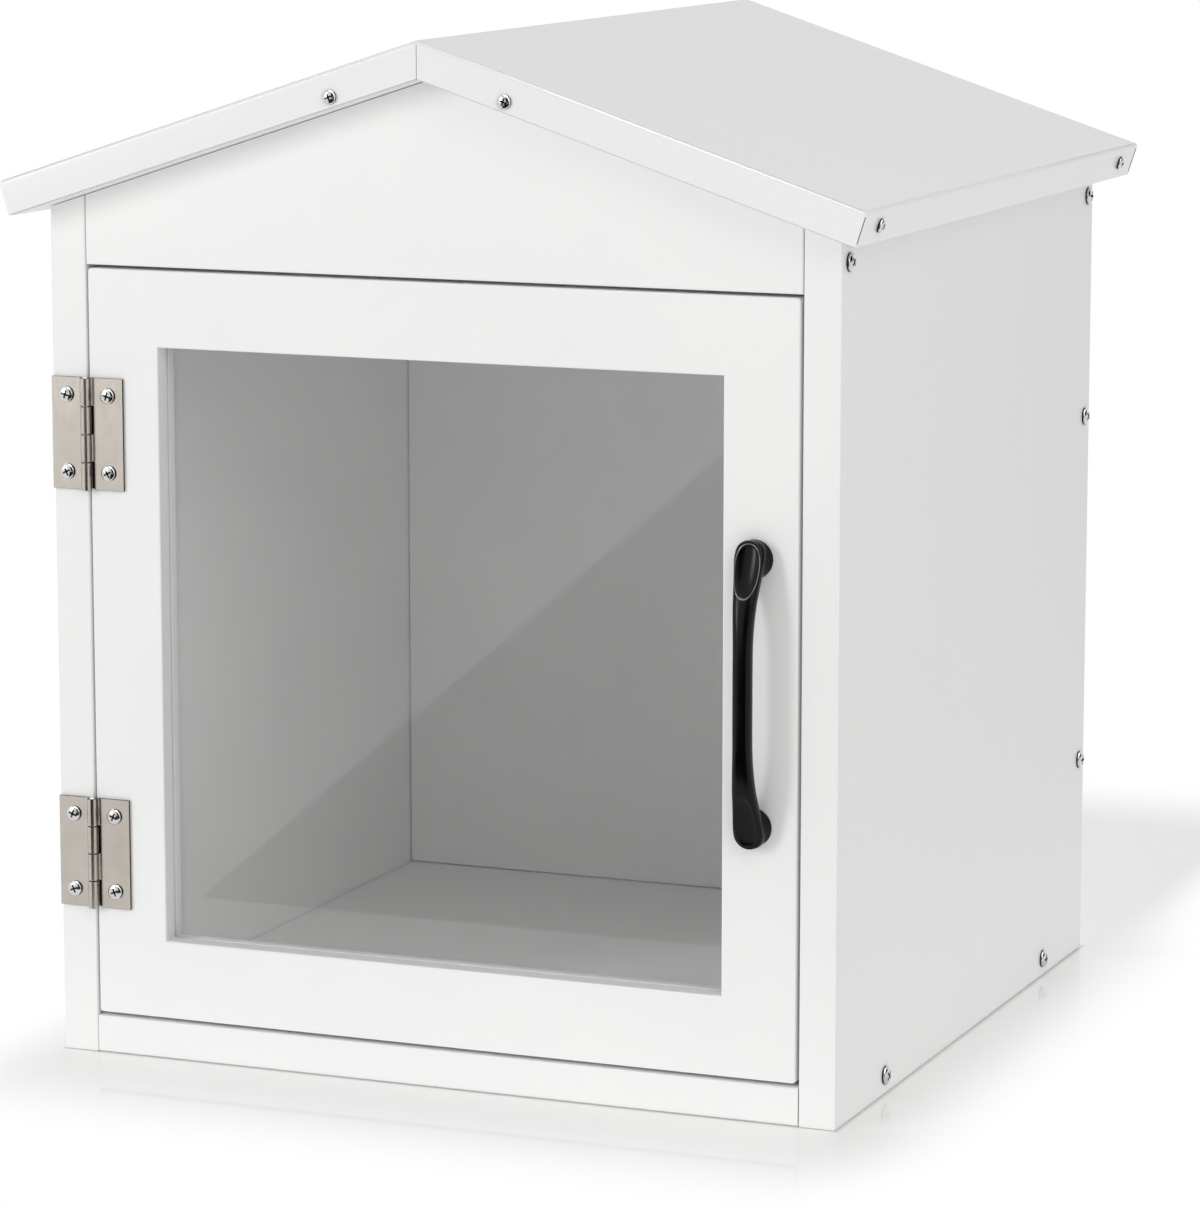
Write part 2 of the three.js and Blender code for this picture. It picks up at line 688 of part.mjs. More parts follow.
for (const [word, height] of [['lower', hingeHeights[0]], ['upper', hingeHeights[1]]]) {
  const hinge = new THREE.Group();
  hinge.position.set(hingeAxisX, -barrelStandoff, height);
  cabinet.add(hinge);
  addPiece(hinge, `hinge_${word}_frame_leaf`, leafSolid(-1, [0, 2]), hingeSteel);
  addPiece(hinge, `hinge_${word}_door_leaf`, leafSolid(1, [1, 3]), hingeSteel);
  addPiece(hinge, `hinge_${word}_pin`, pinSolid(), pinSteel);
  const head = leafBack - leafThickness - seatGap;
  for (const [side, member] of [[-1, 'frame'], [1, 'door']]) {
    for (const [end, where] of [[-1, 'bottom'], [1, 'top']]) {
      addScrew(hinge, `hinge_${word}_${member}_screw_${where}`, hingeScrewSolid,
        [side * hingeScrewOffset, head, end * hingeScrewSpacing / 2], [0, -1, 0]);
    }
  }
}

// Pull handle, drawn along Z with its reach from the door along Y, before it is turned to the front.
// The bar is a loft: a unit ball whose rings follow the width and the front and back of the bar.
const pullHalf = pullCentres / 2 + postRadius;
const dishStart = pullHalf - dishLength;
const dishSlope = Math.atan((dishReach - tipReach) / dishLength);

function pullFront(s) {
  if (s < dishStart) return pullReach - (pullReach - dishReach) * (s / dishStart) ** archPower;
  return dishReach - (dishReach - tipReach) * (s - dishStart) / dishLength;
}

function pullSize(s) {
  const along = Math.min(Math.max((s - straightHalf) / (pullHalf - postRadius - straightHalf), 0), 1);
  const grown = along ** flarePower;
  const pastEnd = Math.max(s - (pullHalf - pullEndHalfWidth), 0) / pullEndHalfWidth;
  const round = Math.sqrt(Math.max(1 - pastEnd * pastEnd, 0));
  return {
    halfWidth: (pullHalfWidth + (pullEndHalfWidth - pullHalfWidth) * grown) * round,
    thickness: (pullThickness + (pullEndThickness - pullThickness) * along) * Math.sqrt(round),
    squareShare: barSquareShare + (endSquareShare - barSquareShare) * along,
  };
}

const squared = (value, share) => Math.sign(value) * Math.abs(value) ** share;

function pullBar() {
  const ball = new THREE.SphereGeometry(1, barSides, barRings);
  const position = ball.attributes.position;
  for (let i = 0; i < position.count; i += 1) {
    const [bx, by, bz] = [position.getX(i), position.getY(i), position.getZ(i)];
    const s = Math.abs(by) * pullHalf;
    const angle = Math.atan2(bz, bx);
    const { halfWidth, thickness, squareShare } = pullSize(s);
    const x = halfWidth * squared(Math.cos(angle), squareShare);
    const depth = (thickness / 2) * squared(Math.sin(angle), squareShare);
    position.setXYZ(i, x, pullFront(s) - thickness / 2 + depth, by * pullHalf);
  }
  return solidOf(flipped(ball));
}

// Reading the ball's rings along Z turns it inside out, so its triangles are turned back
function flipped(geometry) {
  const loose = geometry.toNonIndexed();
  flipWinding(loose);
  return loose;
}

// A post is a stub that narrows from its round foot to the hollowed end that covers it
function pullPost(end) {
  const middle = dishStart + dishLength / 2;
  const neck = pullFront(pullCentres / 2);
  const post = turned([
    [0, 0], [postRadius - postEase, 0], [postRadius, postEase], [postNeckRadius, neck], [0, neck],
  ], postSides);
  post.translate(0, 0, end * pullCentres / 2);
  const above = new THREE.BoxGeometry(2 * pullHalf, 2 * pullReach, 2 * pullHalf);
  above.translate(0, pullReach - postCover, 0).rotateX(end * dishSlope);
  above.translate(0, pullFront(middle), end * middle);
  return solidOf(post).subtract(solidOf(above));
}

function pullDish(end) {
  const ball = new THREE.SphereGeometry(1, dishSides, dishRings);
  const halfLength = dishLength / 2 - dishRim;
  const position = ball.attributes.position;
  for (let i = 0; i < position.count; i += 1) {
    const along = position.getZ(i);
    const x = position.getX(i) * dishHalfWidth * (1 + dishTaperShare * along * end);
    position.setXYZ(i, x, position.getY(i) * dishDepth, along * halfLength);
  }
  ball.rotateX(end * dishSlope);
  const middle = dishStart + dishLength / 2;
  return solidOf(ball.translate(0, pullFront(middle), end * middle));
}

function pullSolid() {
  let pull = pullBar().add(pullPost(-1)).add(pullPost(1));
  for (const end of [-1, 1]) {
    pull = pull.subtract(pullDish(end));
    pull = pull.subtract(rod('y', pullScrew.shank + holeGap, -overrun, pullBoreDepth, 0, end * pullCentres / 2));
  }
  return pull;
}

const pull = new THREE.Group();
pull.position.set(pullX, -seatGap, doorMiddle);
pull.rotation.z = Math.PI;
door.add(pull);
addPiece(pull, 'pull_handle', pullSolid(), blackPaint);
for (const [end, where] of [[-1, 'lower'], [1, 'upper']]) {
  addScrew(door, `pull_screw_${where}`, pullScrewSolid,
    [pullX, doorThickness + seatGap, doorMiddle + end * pullCentres / 2], [0, 1, 0]);
}

// Catch: a moulded case on the right side panel holds a magnet between two pole plates
const catchMiddleX = catchLeft + catchWidth / 2;
function catchCaseSolid() {
  const outline = roundedRectangle(catchFront, catchFront + catchDepth,
    doorMiddle - catchHeight / 2, doorMiddle + catchHeight / 2, catchCorner);
  const body = solidOf(sideways(easedSlab(outline, catchWidth, arris / 2), catchLeft));
  const half = magnetWidth / 2 + poleThickness + holeGap;
  const pocket = block(catchMiddleX - half, catchMiddleX + half, catchFront - overrun,
    catchFront + magnetDepth + holeGap, doorMiddle - magnetHeight / 2 - holeGap,
    doorMiddle + magnetHeight / 2 + holeGap);
  return body.subtract(pocket).subtract(catchScrewHoles());
}
addPiece(cabinet, 'catch_case', catchCaseSolid(), catchPlastic);

function catchMagnetSolid() {
  const [z0, z1] = [doorMiddle - magnetHeight / 2, doorMiddle + magnetHeight / 2];
  const back = catchFront + magnetDepth;
  const core = block(catchMiddleX - magnetWidth / 2, catchMiddleX + magnetWidth / 2, catchFront, back, z0, z1);
  const plates = [-1, 1].map((side) => {
    const x = catchMiddleX + side * magnetWidth / 2;
    return block(Math.min(x, x + side * poleThickness), Math.max(x, x + side * poleThickness),
      poleFront, back, z0, z1);
  });
  return core.add(plates[0]).add(plates[1]);
}
addPiece(cabinet, 'catch_magnet', catchMagnetSolid(), magnetSteel);

for (const [end, where] of [[-1, 'lower'], [1, 'upper']]) {
  addScrew(cabinet, `catch_screw_${where}`, catchScrewSolid,
    [catchLeft - seatGap, catchMiddleY, doorMiddle + end * catchScrewSpacing / 2], [-1, 0, 0]);
}

// The strike plate on the back of the door, dished for its flush screw
function strikeSolid() {
  const outline = roundedRectangle(strikeX - strikeWidth / 2, strikeX + strikeWidth / 2,
    doorMiddle - strikeHeight / 2, doorMiddle + strikeHeight / 2, strikeCorner);
  const plate = solidOf(upright(slab(outline, strikeThickness), strikeFront, strikeThickness));
  const top = strikeFront + strikeThickness;
  const cone = new THREE.CylinderGeometry(strikeScrew.head + holeGap, strikeScrew.shank + holeGap,
    strikeScrew.headHeight, screwSides);
  const hole = rod('y', strikeScrew.shank + holeGap, strikeFront - overrun, top + overrun, strikeX, doorMiddle);
  return plate.subtract(hole)
    .subtract(solidOf(cone.translate(strikeX, top - strikeScrew.headHeight / 2, doorMiddle)));
}
addPiece(door, 'catch_strike', strikeSolid(), magnetSteel);
addScrew(door, 'strike_screw', countersunkScrew(strikeScrew),
  [strikeX, strikeFront + strikeThickness, doorMiddle], [0, 1, 0]);

const exchangeBox = new THREE.Group();
exchangeBox.add(cabinet);

export default exchangeBox;
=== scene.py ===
import math

import bmesh
import bpy
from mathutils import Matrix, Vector


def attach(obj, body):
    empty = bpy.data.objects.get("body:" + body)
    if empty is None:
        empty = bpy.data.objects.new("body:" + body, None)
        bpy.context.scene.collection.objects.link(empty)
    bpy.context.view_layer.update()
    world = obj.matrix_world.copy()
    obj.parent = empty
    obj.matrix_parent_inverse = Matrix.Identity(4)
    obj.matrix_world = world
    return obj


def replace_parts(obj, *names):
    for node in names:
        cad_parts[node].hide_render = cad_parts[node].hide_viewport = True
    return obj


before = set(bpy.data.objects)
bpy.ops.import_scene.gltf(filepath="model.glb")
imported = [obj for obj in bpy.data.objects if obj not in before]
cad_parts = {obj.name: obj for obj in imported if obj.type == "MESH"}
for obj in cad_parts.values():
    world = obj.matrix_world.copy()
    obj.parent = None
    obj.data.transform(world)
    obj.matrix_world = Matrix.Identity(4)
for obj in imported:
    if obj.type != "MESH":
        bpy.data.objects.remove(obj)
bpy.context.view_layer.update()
MM = 0.001

# ------------------------------------------------------------
# Cabinet boards: two side panels, a bottom, a back and a gable board. Each is cut from 15 or
# 17 mm board, its arrises are sanded round, and it is sealed and rolled with white satin paint
# before the side screws pull the carcass together.


def hex_colour(code):
    """An sRGB hex colour as the linear colour that the shaders work in."""
    def linear(pair):
        value = int(pair, 16) / 255
        return value / 12.92 if value <= 0.04045 else ((value + 0.055) / 1.055) ** 2.4
    return (linear(code[1:3]), linear(code[3:5]), linear(code[5:7]), 1.0)


def add(tree, kind, inputs=None, **settings):
    """Adds one node: its settings, then its sockets, each set to a value or linked. A node that
    is given as a value stands for its first output in use."""
    node = tree.nodes.new(kind)
    for key, value in settings.items():
        setattr(node, key, value)
    for key, value in (inputs or {}).items():
        for source in value if isinstance(value, list) else [value]:
            if isinstance(source, bpy.types.Node):
                source = next(output for output in source.outputs if output.enabled)
            if isinstance(source, bpy.types.NodeSocket):
                tree.links.new(source, node.inputs[key])
            else:
                node.inputs[key].default_value = source
    return node


def new_finish(name):
    """An empty material, its node tree and the Object coordinates that its patterns read."""
    material = bpy.data.materials.new(name)
    material.use_nodes = True
    material.node_tree.nodes.clear()
    place = add(material.node_tree, "ShaderNodeTexCoord").outputs["Object"]
    return material, material.node_tree, place


# White satin paint, rolled: even and soft, with a faint stipple about 1.3 mm across that only
# shows where light grazes it, and a sheen that changes a little from patch to patch.
satin_paint, tree, place = new_finish("rolled_white_satin_paint")
patches = add(tree, "ShaderNodeTexNoise", {"Vector": place, "Scale": 1 / (70 * MM), "Detail": 2.0})
stipple = add(tree, "ShaderNodeTexNoise", {"Vector": place, "Scale": 1 / (1.3 * MM), "Detail": 1.0})
sheen = add(tree, "ShaderNodeMapRange", {
    "Value": patches, "From Min": 0.2, "From Max": 0.8, "To Min": 0.38, "To Max": 0.46})
relief = add(tree, "ShaderNodeBump", {"Height": stipple, "Distance": 0.012 * MM})
shade = add(tree, "ShaderNodeMix", {
    0: patches, 6: hex_colour("#F1F1F1"), 7: hex_colour("#F6F6F5")}, data_type="RGBA")
paint = add(tree, "ShaderNodeBsdfPrincipled", {
    "Base Color": shade, "Roughness": sheen, "IOR": 1.5, "Specular IOR Level": 0.4,
    "Normal": relief})
add(tree, "ShaderNodeOutputMaterial", {"Surface": paint})


def open_socket(tree, label, kind, value=None, way="INPUT"):
    """A named way into or out of a node tree, with the value that it starts from."""
    socket = tree.interface.new_socket(label, in_out=way, socket_type="NodeSocket" + kind)
    if value is not None:
        socket.default_value = value


# Shades a mesh smooth, but keeps each edge crisp where its two faces turn by more than the
# Crease, in radians.
crisp_edges = bpy.data.node_groups.new("crisp_edges", "GeometryNodeTree")
open_socket(crisp_edges, "Geometry", "Geometry")
open_socket(crisp_edges, "Crease", "Float", 0.9)
open_socket(crisp_edges, "Geometry", "Geometry", way="OUTPUT")
given = add(crisp_edges, "NodeGroupInput").outputs
turn = add(crisp_edges, "GeometryNodeInputMeshEdgeAngle")
sharp = add(crisp_edges, "FunctionNodeCompare", {
    "A": turn, "B": given["Crease"]}, operation="GREATER_THAN")
soft = add(crisp_edges, "GeometryNodeSetShadeSmooth", {
    "Geometry": given["Geometry"], "Shade Smooth": True}, domain="FACE")
kept = add(crisp_edges, "GeometryNodeSetShadeSmooth", {
    "Geometry": soft, "Selection": sharp, "Shade Smooth": False}, domain="EDGE")
add(crisp_edges, "NodeGroupOutput", {"Geometry": kept})


def dress(node, material):
    """Gives a CAD node its finish, and lets its rounded arrises shade as true curves."""
    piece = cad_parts[node]
    piece.data.materials.clear()
    piece.data.materials.append(material)
    piece.modifiers.new("weld", "WELD").merge_threshold = 0.01 * MM
    flat = piece.modifiers.new("flat faces", "DECIMATE")
    flat.decimate_type = "DISSOLVE"
    flat.angle_limit = math.radians(1)
    piece.modifiers.new("crisp edges", "NODES").node_group = crisp_edges
    piece.modifiers.new("even shading", "WEIGHTED_NORMAL").keep_sharp = True


for board in ("side_panel_left", "side_panel_right", "bottom_panel", "back_panel", "gable_board"):
    dress(board, satin_paint)

# ------------------------------------------------------------
# Roof boards: two 15 mm boards mitred at the ridge, painted like the cabinet where they show.
# Where the sheet caps their edges they carry near black painted shade, so the slits at the sheet's corners
# look dark.


def paint_shade_areas(material, name, areas, dark, pale, folded=False):
    """A copy of a finish with dull dark painted shade in each area: its strength, then the limits in mm
    between which each length along a direction lies. Folded, all four quarters are alike."""
    copied = material.copy()
    copied.name = name
    tree = copied.node_tree
    place = tree.nodes["Texture Coordinate"].outputs["Object"]
    measured = place
    if folded:
        measured = add(tree, "ShaderNodeVectorMath", {0: place}, operation="ABSOLUTE")
    shaded_area = 0.0
    for strength, *limits in areas:
        mask = strength
        for direction, low, high in limits:
            length = add(tree, "ShaderNodeVectorMath", {
                0: measured, 1: direction}, operation="DOT_PRODUCT")
            middle, half = (low + high) / 2 * MM, (high - low) / 2 * MM
            inside = add(tree, "ShaderNodeMath", {0: length, 1: middle, 2: half}, operation="COMPARE")
            mask = add(tree, "ShaderNodeMath", {0: mask, 1: inside}, operation="MULTIPLY")
        shaded_area = add(tree, "ShaderNodeMath", {0: shaded_area, 1: mask}, operation="MAXIMUM")
    shade_noise = add(tree, "ShaderNodeTexNoise", {"Vector": place, "Scale": 1 / (3 * MM), "Detail": 3.0})
    shade = add(tree, "ShaderNodeMix", {
        0: shade_noise, 6: hex_colour(dark), 7: hex_colour(pale)}, data_type="RGBA")
    dull = add(tree, "ShaderNodeBsdfPrincipled", {
        "Base Color": shade, "Roughness": 0.7, "Specular IOR Level": 0.2})
    coats = add(tree, "ShaderNodeMixShader", {"Fac": shaded_area, 1: tree.nodes["Principled BSDF"], 2: dull})
    tree.links.new(coats.outputs["Shader"], tree.nodes["Material Output"].inputs["Surface"])
    return copied


# Satin paint with near black, dull painted shade along the capped edges, so the open slits at
# the sheet's corners look down into dark shade.
roof_cos, roof_sin = 0.95063, 0.31038
ridge_height, slope_length, flange = 459, 211.44, 15.7
up_from_slope, out_to_eave, out_to_rake = (roof_sin, 0, roof_cos), (roof_cos, 0, -roof_sin), (0, 1, 0)
skin_level, eave_level, rake_level = ridge_height * roof_cos, slope_length - ridge_height * roof_sin, 199
under_skin = (up_from_slope, skin_level - flange, skin_level)
roof_board_paint_with_slit_shade = paint_shade_areas(
    satin_paint, "satin_paint_with_painted_slit_shade",
    [[1.0, under_skin, (out_to_eave, eave_level - 1.7, eave_level)],
     [1.0, under_skin, (out_to_rake, rake_level - 2, rake_level)]],
    "#101010", "#252523", folded=True)
for board in ("roof_board_left", "roof_board_right"):
    dress(board, roof_board_paint_with_slit_shade)

# ------------------------------------------------------------
# Side screws: twelve pan head wood screws, six through each side panel into the boards
# between them. Bright zinc on steel, driven by hand, so no two crosses point the same way.

# Bright zinc plating: a mirror-like cool white metal with the faint grain of the drawn wire
# under it, and slightly duller patches. The cross recess and the rim carry painted shade, dark grey and
# dull, darker the deeper they lie under the dome.
bright_zinc, tree, place = new_finish("bright_zinc_plated_steel")
cloud = add(tree, "ShaderNodeTexNoise", {"Vector": place, "Scale": 1 / (2.5 * MM), "Detail": 3.0})
grain = add(tree, "ShaderNodeTexNoise", {"Vector": place, "Scale": 1 / (0.5 * MM), "Detail": 2.0})
polish = add(tree, "ShaderNodeMapRange", {
    "Value": cloud, "From Min": 0.3, "From Max": 0.7, "To Min": 0.1, "To Max": 0.18})
relief = add(tree, "ShaderNodeBump", {"Height": grain, "Distance": 0.006 * MM})
soiled = add(tree, "ShaderNodeAttribute", attribute_name="soiled").outputs["Fac"]
plating = add(tree, "ShaderNodeMix", {
    0: cloud, 6: hex_colour("#BFBFBF"), 7: hex_colour("#E0E0DF")}, data_type="RGBA")
plated = add(tree, "ShaderNodeMix", {0: soiled, 6: plating, 7: hex_colour("#1C1C1B")}, data_type="RGBA")
dulled = add(tree, "ShaderNodeMath", {0: soiled, 1: 0.3, 2: polish}, operation="MULTIPLY_ADD")
zinc = add(tree, "ShaderNodeBsdfPrincipled", {
    "Base Color": plated, "Metallic": 1.0, "Roughness": dulled, "Normal": relief})
add(tree, "ShaderNodeOutputMaterial", {"Surface": zinc})

# The screw, head up along Z with its underside at 0, set on every point of the mesh that the
# tree is given. Each point says where its screw aims and how far its cross is turned.
screws = bpy.data.node_groups.new("pan_head_screws", "GeometryNodeTree")
open_socket(screws, "Points", "Geometry")
for label, size in (("Head Radius", 4.1), ("Head Height", 2.6), ("Rim Height", 0.9),
                    ("Shank Radius", 1.9), ("Shank Length", 38.0)):
    open_socket(screws, label, "Float", size * MM)
open_socket(screws, "Finish", "Material")
open_socket(screws, "Screws", "Geometry", way="OUTPUT")
given = add(screws, "NodeGroupInput").outputs
# The head: an upright rim and on it a dome that is flatter on top than a ball.
dome_power = 0.72
disc = add(screws, "GeometryNodeMeshCylinder", {
    "Vertices": 40, "Fill Segments": 9, "Radius": 1.0, "Depth": 2.0})
spot = add(screws, "GeometryNodeInputPosition")
parts = add(screws, "ShaderNodeSeparateXYZ", {"Vector": spot}).outputs
level = add(screws, "ShaderNodeVectorMath", {0: spot, 1: (1, 1, 0)}, operation="MULTIPLY")
ring = add(screws, "ShaderNodeVectorMath", {0: level}, operation="LENGTH")
outward = add(screws, "ShaderNodeVectorMath", {0: level}, operation="NORMALIZE")
sweep = add(screws, "ShaderNodeMath", {0: ring, 1: math.pi / 2}, operation="MULTIPLY")
lean = add(screws, "ShaderNodeMath", {0: sweep}, operation="SINE")
reach = add(screws, "ShaderNodeMath", {0: lean, 1: given["Head Radius"]}, operation="MULTIPLY")
fall = add(screws, "ShaderNodeMath", {0: sweep}, operation="COSINE")
crown = add(screws, "ShaderNodeMath", {0: fall, 1: dome_power}, operation="POWER", use_clamp=True)
dome = add(screws, "ShaderNodeMath", {0: given["Head Height"], 1: given["Rim Height"]}, operation="SUBTRACT")
height = add(screws, "ShaderNodeMath", {0: crown, 1: dome, 2: given["Rim Height"]}, operation="MULTIPLY_ADD")
above = add(screws, "FunctionNodeCompare", {"A": parts["Z"], "B": 0.0}, operation="GREATER_THAN")
lift = add(screws, "GeometryNodeSwitch", {"Switch": above, "False": 0.0, "True": height}, input_type="FLOAT")
spread = add(screws, "ShaderNodeVectorMath", {0: outward, "Scale": reach}, operation="SCALE")
raised = add(screws, "ShaderNodeCombineXYZ", {"Z": lift})
shaped = add(screws, "ShaderNodeVectorMath", {0: spread, 1: raised}, operation="ADD")
head = add(screws, "GeometryNodeSetPosition", {"Geometry": disc, "Position": shaped})
# The cross recess: two wings that narrow from the mouth to the foot. Their length and width
# are in head radii, their depth in head heights.
wing_length, wing_width, wing_depth = 1.45, 0.3, 0.8
foot_share, mouth_share = 0.42, 1.22
wings = []
for size in ((wing_length, wing_width, 2.0), (wing_width, wing_length, 2.0)):
    bar = add(screws, "GeometryNodeMeshCube", {"Size": size})
    narrow = add(screws, "ShaderNodeMapRange", {
        "Value": parts["Z"], "From Min": -1.0, "To Min": foot_share, "To Max": mouth_share})
    width = add(screws, "ShaderNodeMath", {0: narrow, 1: given["Head Radius"]}, operation="MULTIPLY")
    depth = add(screws, "ShaderNodeMath", {0: given["Head Height"], 1: wing_depth}, operation="MULTIPLY")
    scale = add(screws, "ShaderNodeCombineXYZ", {"X": width, "Y": width, "Z": depth})
    sized = add(screws, "ShaderNodeVectorMath", {0: spot, 1: scale}, operation="MULTIPLY")
    up = add(screws, "ShaderNodeCombineXYZ", {"Z": given["Head Height"]})
    wings.append(add(screws, "GeometryNodeSetPosition", {"Geometry": bar, "Position": sized, "Offset": up}))
cut = add(screws, "GeometryNodeMeshBoolean", {
    "Mesh 1": head, "Mesh 2": wings}, operation="DIFFERENCE", solver="EXACT")
# How much painted shade each face gets: the deeper it lies under the dome, the more.
outer = add(screws, "ShaderNodeMath", {0: ring, 1: given["Head Radius"]}, operation="DIVIDE", use_clamp=True)
squared = add(screws, "ShaderNodeMath", {0: outer, 1: outer}, operation="MULTIPLY")
left = add(screws, "ShaderNodeMath", {0: 1.0, 1: squared}, operation="SUBTRACT")
bow = add(screws, "ShaderNodeMath", {0: left, 1: dome_power / 2}, operation="POWER")
skin = add(screws, "ShaderNodeMath", {0: bow, 1: dome, 2: given["Rim Height"]}, operation="MULTIPLY_ADD")
sunk = add(screws, "ShaderNodeMath", {0: skin, 1: parts["Z"]}, operation="SUBTRACT")
recess_shade_share = add(screws, "ShaderNodeMapRange", {"Value": sunk, "From Min": 0.05 * MM, "From Max": 0.42 * MM})
marked = add(screws, "GeometryNodeStoreNamedAttribute", {
    "Geometry": cut, "Name": "soiled", "Value": recess_shade_share}, data_type="FLOAT", domain="FACE")
core = add(screws, "GeometryNodeMeshCylinder", {
    "Vertices": 20, "Radius": given["Shank Radius"], "Depth": given["Shank Length"]},
    fill_type="TRIANGLE_FAN")
half = add(screws, "ShaderNodeMath", {0: given["Shank Length"], 1: -0.5}, operation="MULTIPLY")
below = add(screws, "ShaderNodeCombineXYZ", {"Z": half})
shank = add(screws, "GeometryNodeTransform", {"Geometry": core, "Translation": below})
whole = add(screws, "GeometryNodeJoinGeometry", {"Geometry": [marked, shank]})
smooth = add(screws, "GeometryNodeGroup", {
    "Geometry": whole, "Crease": math.radians(42)}, node_tree=crisp_edges)
aim = add(screws, "GeometryNodeInputNamedAttribute", {"Name": "aim"}, data_type="FLOAT_VECTOR")
spin = add(screws, "GeometryNodeInputNamedAttribute", {"Name": "spin"}, data_type="FLOAT")
aimed = add(screws, "FunctionNodeAlignRotationToVector", {"Vector": aim}, axis="Z")
twist = add(screws, "FunctionNodeAxisAngleToRotation", {"Axis": (0, 0, 1), "Angle": spin})
driven = add(screws, "FunctionNodeRotateRotation", {
    "Rotation": aimed, "Rotate By": twist}, rotation_space="LOCAL")
row = add(screws, "GeometryNodeInstanceOnPoints", {
    "Points": given["Points"], "Instance": smooth, "Rotation": driven})
real = add(screws, "GeometryNodeRealizeInstances", {"Geometry": row})
coated = add(screws, "GeometryNodeSetMaterial", {"Geometry": real, "Material": given["Finish"]})
add(screws, "NodeGroupOutput", {"Screws": coated})


def set_out(name, data):
    """A new object in the scene, at the origin, that shows the data it is given."""
    holder = bpy.data.objects.new(name, data)
    bpy.context.scene.collection.objects.link(holder)
    return holder


def grow(holder, tree, wanted):
    """Runs a node tree on an object, with these inputs, and keeps what grows as a plain mesh."""
    modifier = holder.modifiers.new(tree.name, "NODES")
    modifier.node_group = tree
    for item in tree.interface.items_tree:
        if item.in_out == "INPUT" and item.name in wanted:
            modifier[item.identifier] = wanted[item.name]
    seen = holder.evaluated_get(bpy.context.evaluated_depsgraph_get())
    holder.data = bpy.data.meshes.new_from_object(seen)
    holder.modifiers.clear()


def drive_screws(name, body, places, sizes, replaced):
    """Sets one screw on each place (point and aim, mm) and keeps them as one plain mesh."""
    first_turn, next_turn, quarter = 0.37, 0.83, math.pi / 2
    points = bpy.data.meshes.new(name)
    points.from_pydata([Vector(point) * MM for point, _ in places], [], [])
    points.attributes.new("aim", "FLOAT_VECTOR", "POINT").data.foreach_set(
        "vector", [value for _, aim in places for value in aim])
    points.attributes.new("spin", "FLOAT", "POINT").data.foreach_set(
        "value", [(first_turn + next_turn * index) % quarter for index in range(len(places))])
    holder = set_out(name, points)
    grow(holder, screws, {"Finish": bright_zinc, **{label: size * MM for label, size in sizes.items()}})
    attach(holder, body)
    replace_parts(holder, *replaced)


side_rows = {"front": (-173.5, 370), "rear_upper": (169.5, 370), "rear_middle": (169.5, 264),
             "rear_lower": (169.5, 95.5), "base_front": (-118, 8.5), "base_rear": (114, 8.5)}
panel_face = 185.1
drive_screws(
    "side_screws", "cabinet",
    [((side * panel_face, y, z), (side, 0, 0)) for side in (-1, 1) for y, z in side_rows.values()],
    {"Head Radius": 4.1, "Head Height": 2.2, "Shank Radius": 1.9, "Shank Length": 37, "Rim Height": 0.6},
    [f"side_screw_{hand}_{where}" for hand in ("left", "right") for where in side_rows])

# ------------------------------------------------------------
# Roof sheet: one sheet of 0.8 mm steel folded at the ridge and along all four edges, powder
# coated white after folding. It caps the two roof boards and is screwed through its flanges.

# White powder coat, semi gloss: a smooth film with a very soft orange peel about 3 mm across,
# shiny enough to draw a white line along every fold.
powder_coat, tree, place = new_finish("semi_gloss_white_powder_coat")
peel = add(tree, "ShaderNodeTexNoise", {"Vector": place, "Scale": 1 / (3 * MM), "Detail": 0.0})
bake = add(tree, "ShaderNodeTexNoise", {"Vector": place, "Scale": 1 / (90 * MM), "Detail": 0.0})
gloss = add(tree, "ShaderNodeMapRange", {
    "Value": bake, "From Min": 0.1, "From Max": 0.9, "To Min": 0.17, "To Max": 0.21})
relief = add(tree, "ShaderNodeBump", {"Height": peel, "Distance": 0.004 * MM})
shade = add(tree, "ShaderNodeMix", {
    0: bake, 6: hex_colour("#EEEEEE"), 7: hex_colour("#F0F0F0")}, data_type="RGBA")
coat = add(tree, "ShaderNodeBsdfPrincipled", {
    "Base Color": shade, "Roughness": gloss, "IOR": 1.5, "Specular IOR Level": 0.45,
    "Normal": relief})
add(tree, "ShaderNodeOutputMaterial", {"Surface": coat})

# Powder coat with painted shade in the corner slits, a near black line about 1 mm wide that
# starts under the top bend and stops at the welded foot. A fainter grey painted shadow line
# runs along the sheared lower edge of the rake flanges.
coat_with_painted_slit_shade = paint_shade_areas(
    powder_coat, "powder_coat_with_painted_slit_shade",
    [[1.0, (up_from_slope, skin_level - 14.2, skin_level - 2.4),
      (out_to_eave, eave_level - 1.5, eave_level + 0.2), (out_to_rake, rake_level - 1.9, rake_level - 0.75)],
     [0.3, (up_from_slope, skin_level - 16.4, skin_level - 15.3), (out_to_rake, rake_level - 0.7, 200.5)]],
    "#0C0C0D", "#212120", folded=True)
dress("roof_sheet", coat_with_painted_slit_shade)

sheet_size = {
    "Head Radius": 3.1, "Head Height": 1.8, "Shank Radius": 1.4, "Shank Length": 11, "Rim Height": 0.55}
rake_across, rake_face, rake_up = 40.4, 199.1, 434.13
eave_face, eave_along, eave_up = 198.83, 175, 385.77
sheet_places = [((side * rake_across, face * rake_face, rake_up), (0, face, 0))
                for face in (-1, 1) for side in (-1, 1)]
sheet_places += [((side * eave_face, face * eave_along, eave_up), (side * roof_cos, 0, -roof_sin))
                 for side in (-1, 1) for face in (-1, 1)]
drive_screws(
    "roof_screws", "cabinet", sheet_places, sheet_size,
    [f"roof_screw_{end}_{hand}" for end in ("front", "rear") for hand in ("left", "right")]
    + [f"eave_screw_{hand}_{end}" for hand in ("left", "right") for end in ("front", "rear")])
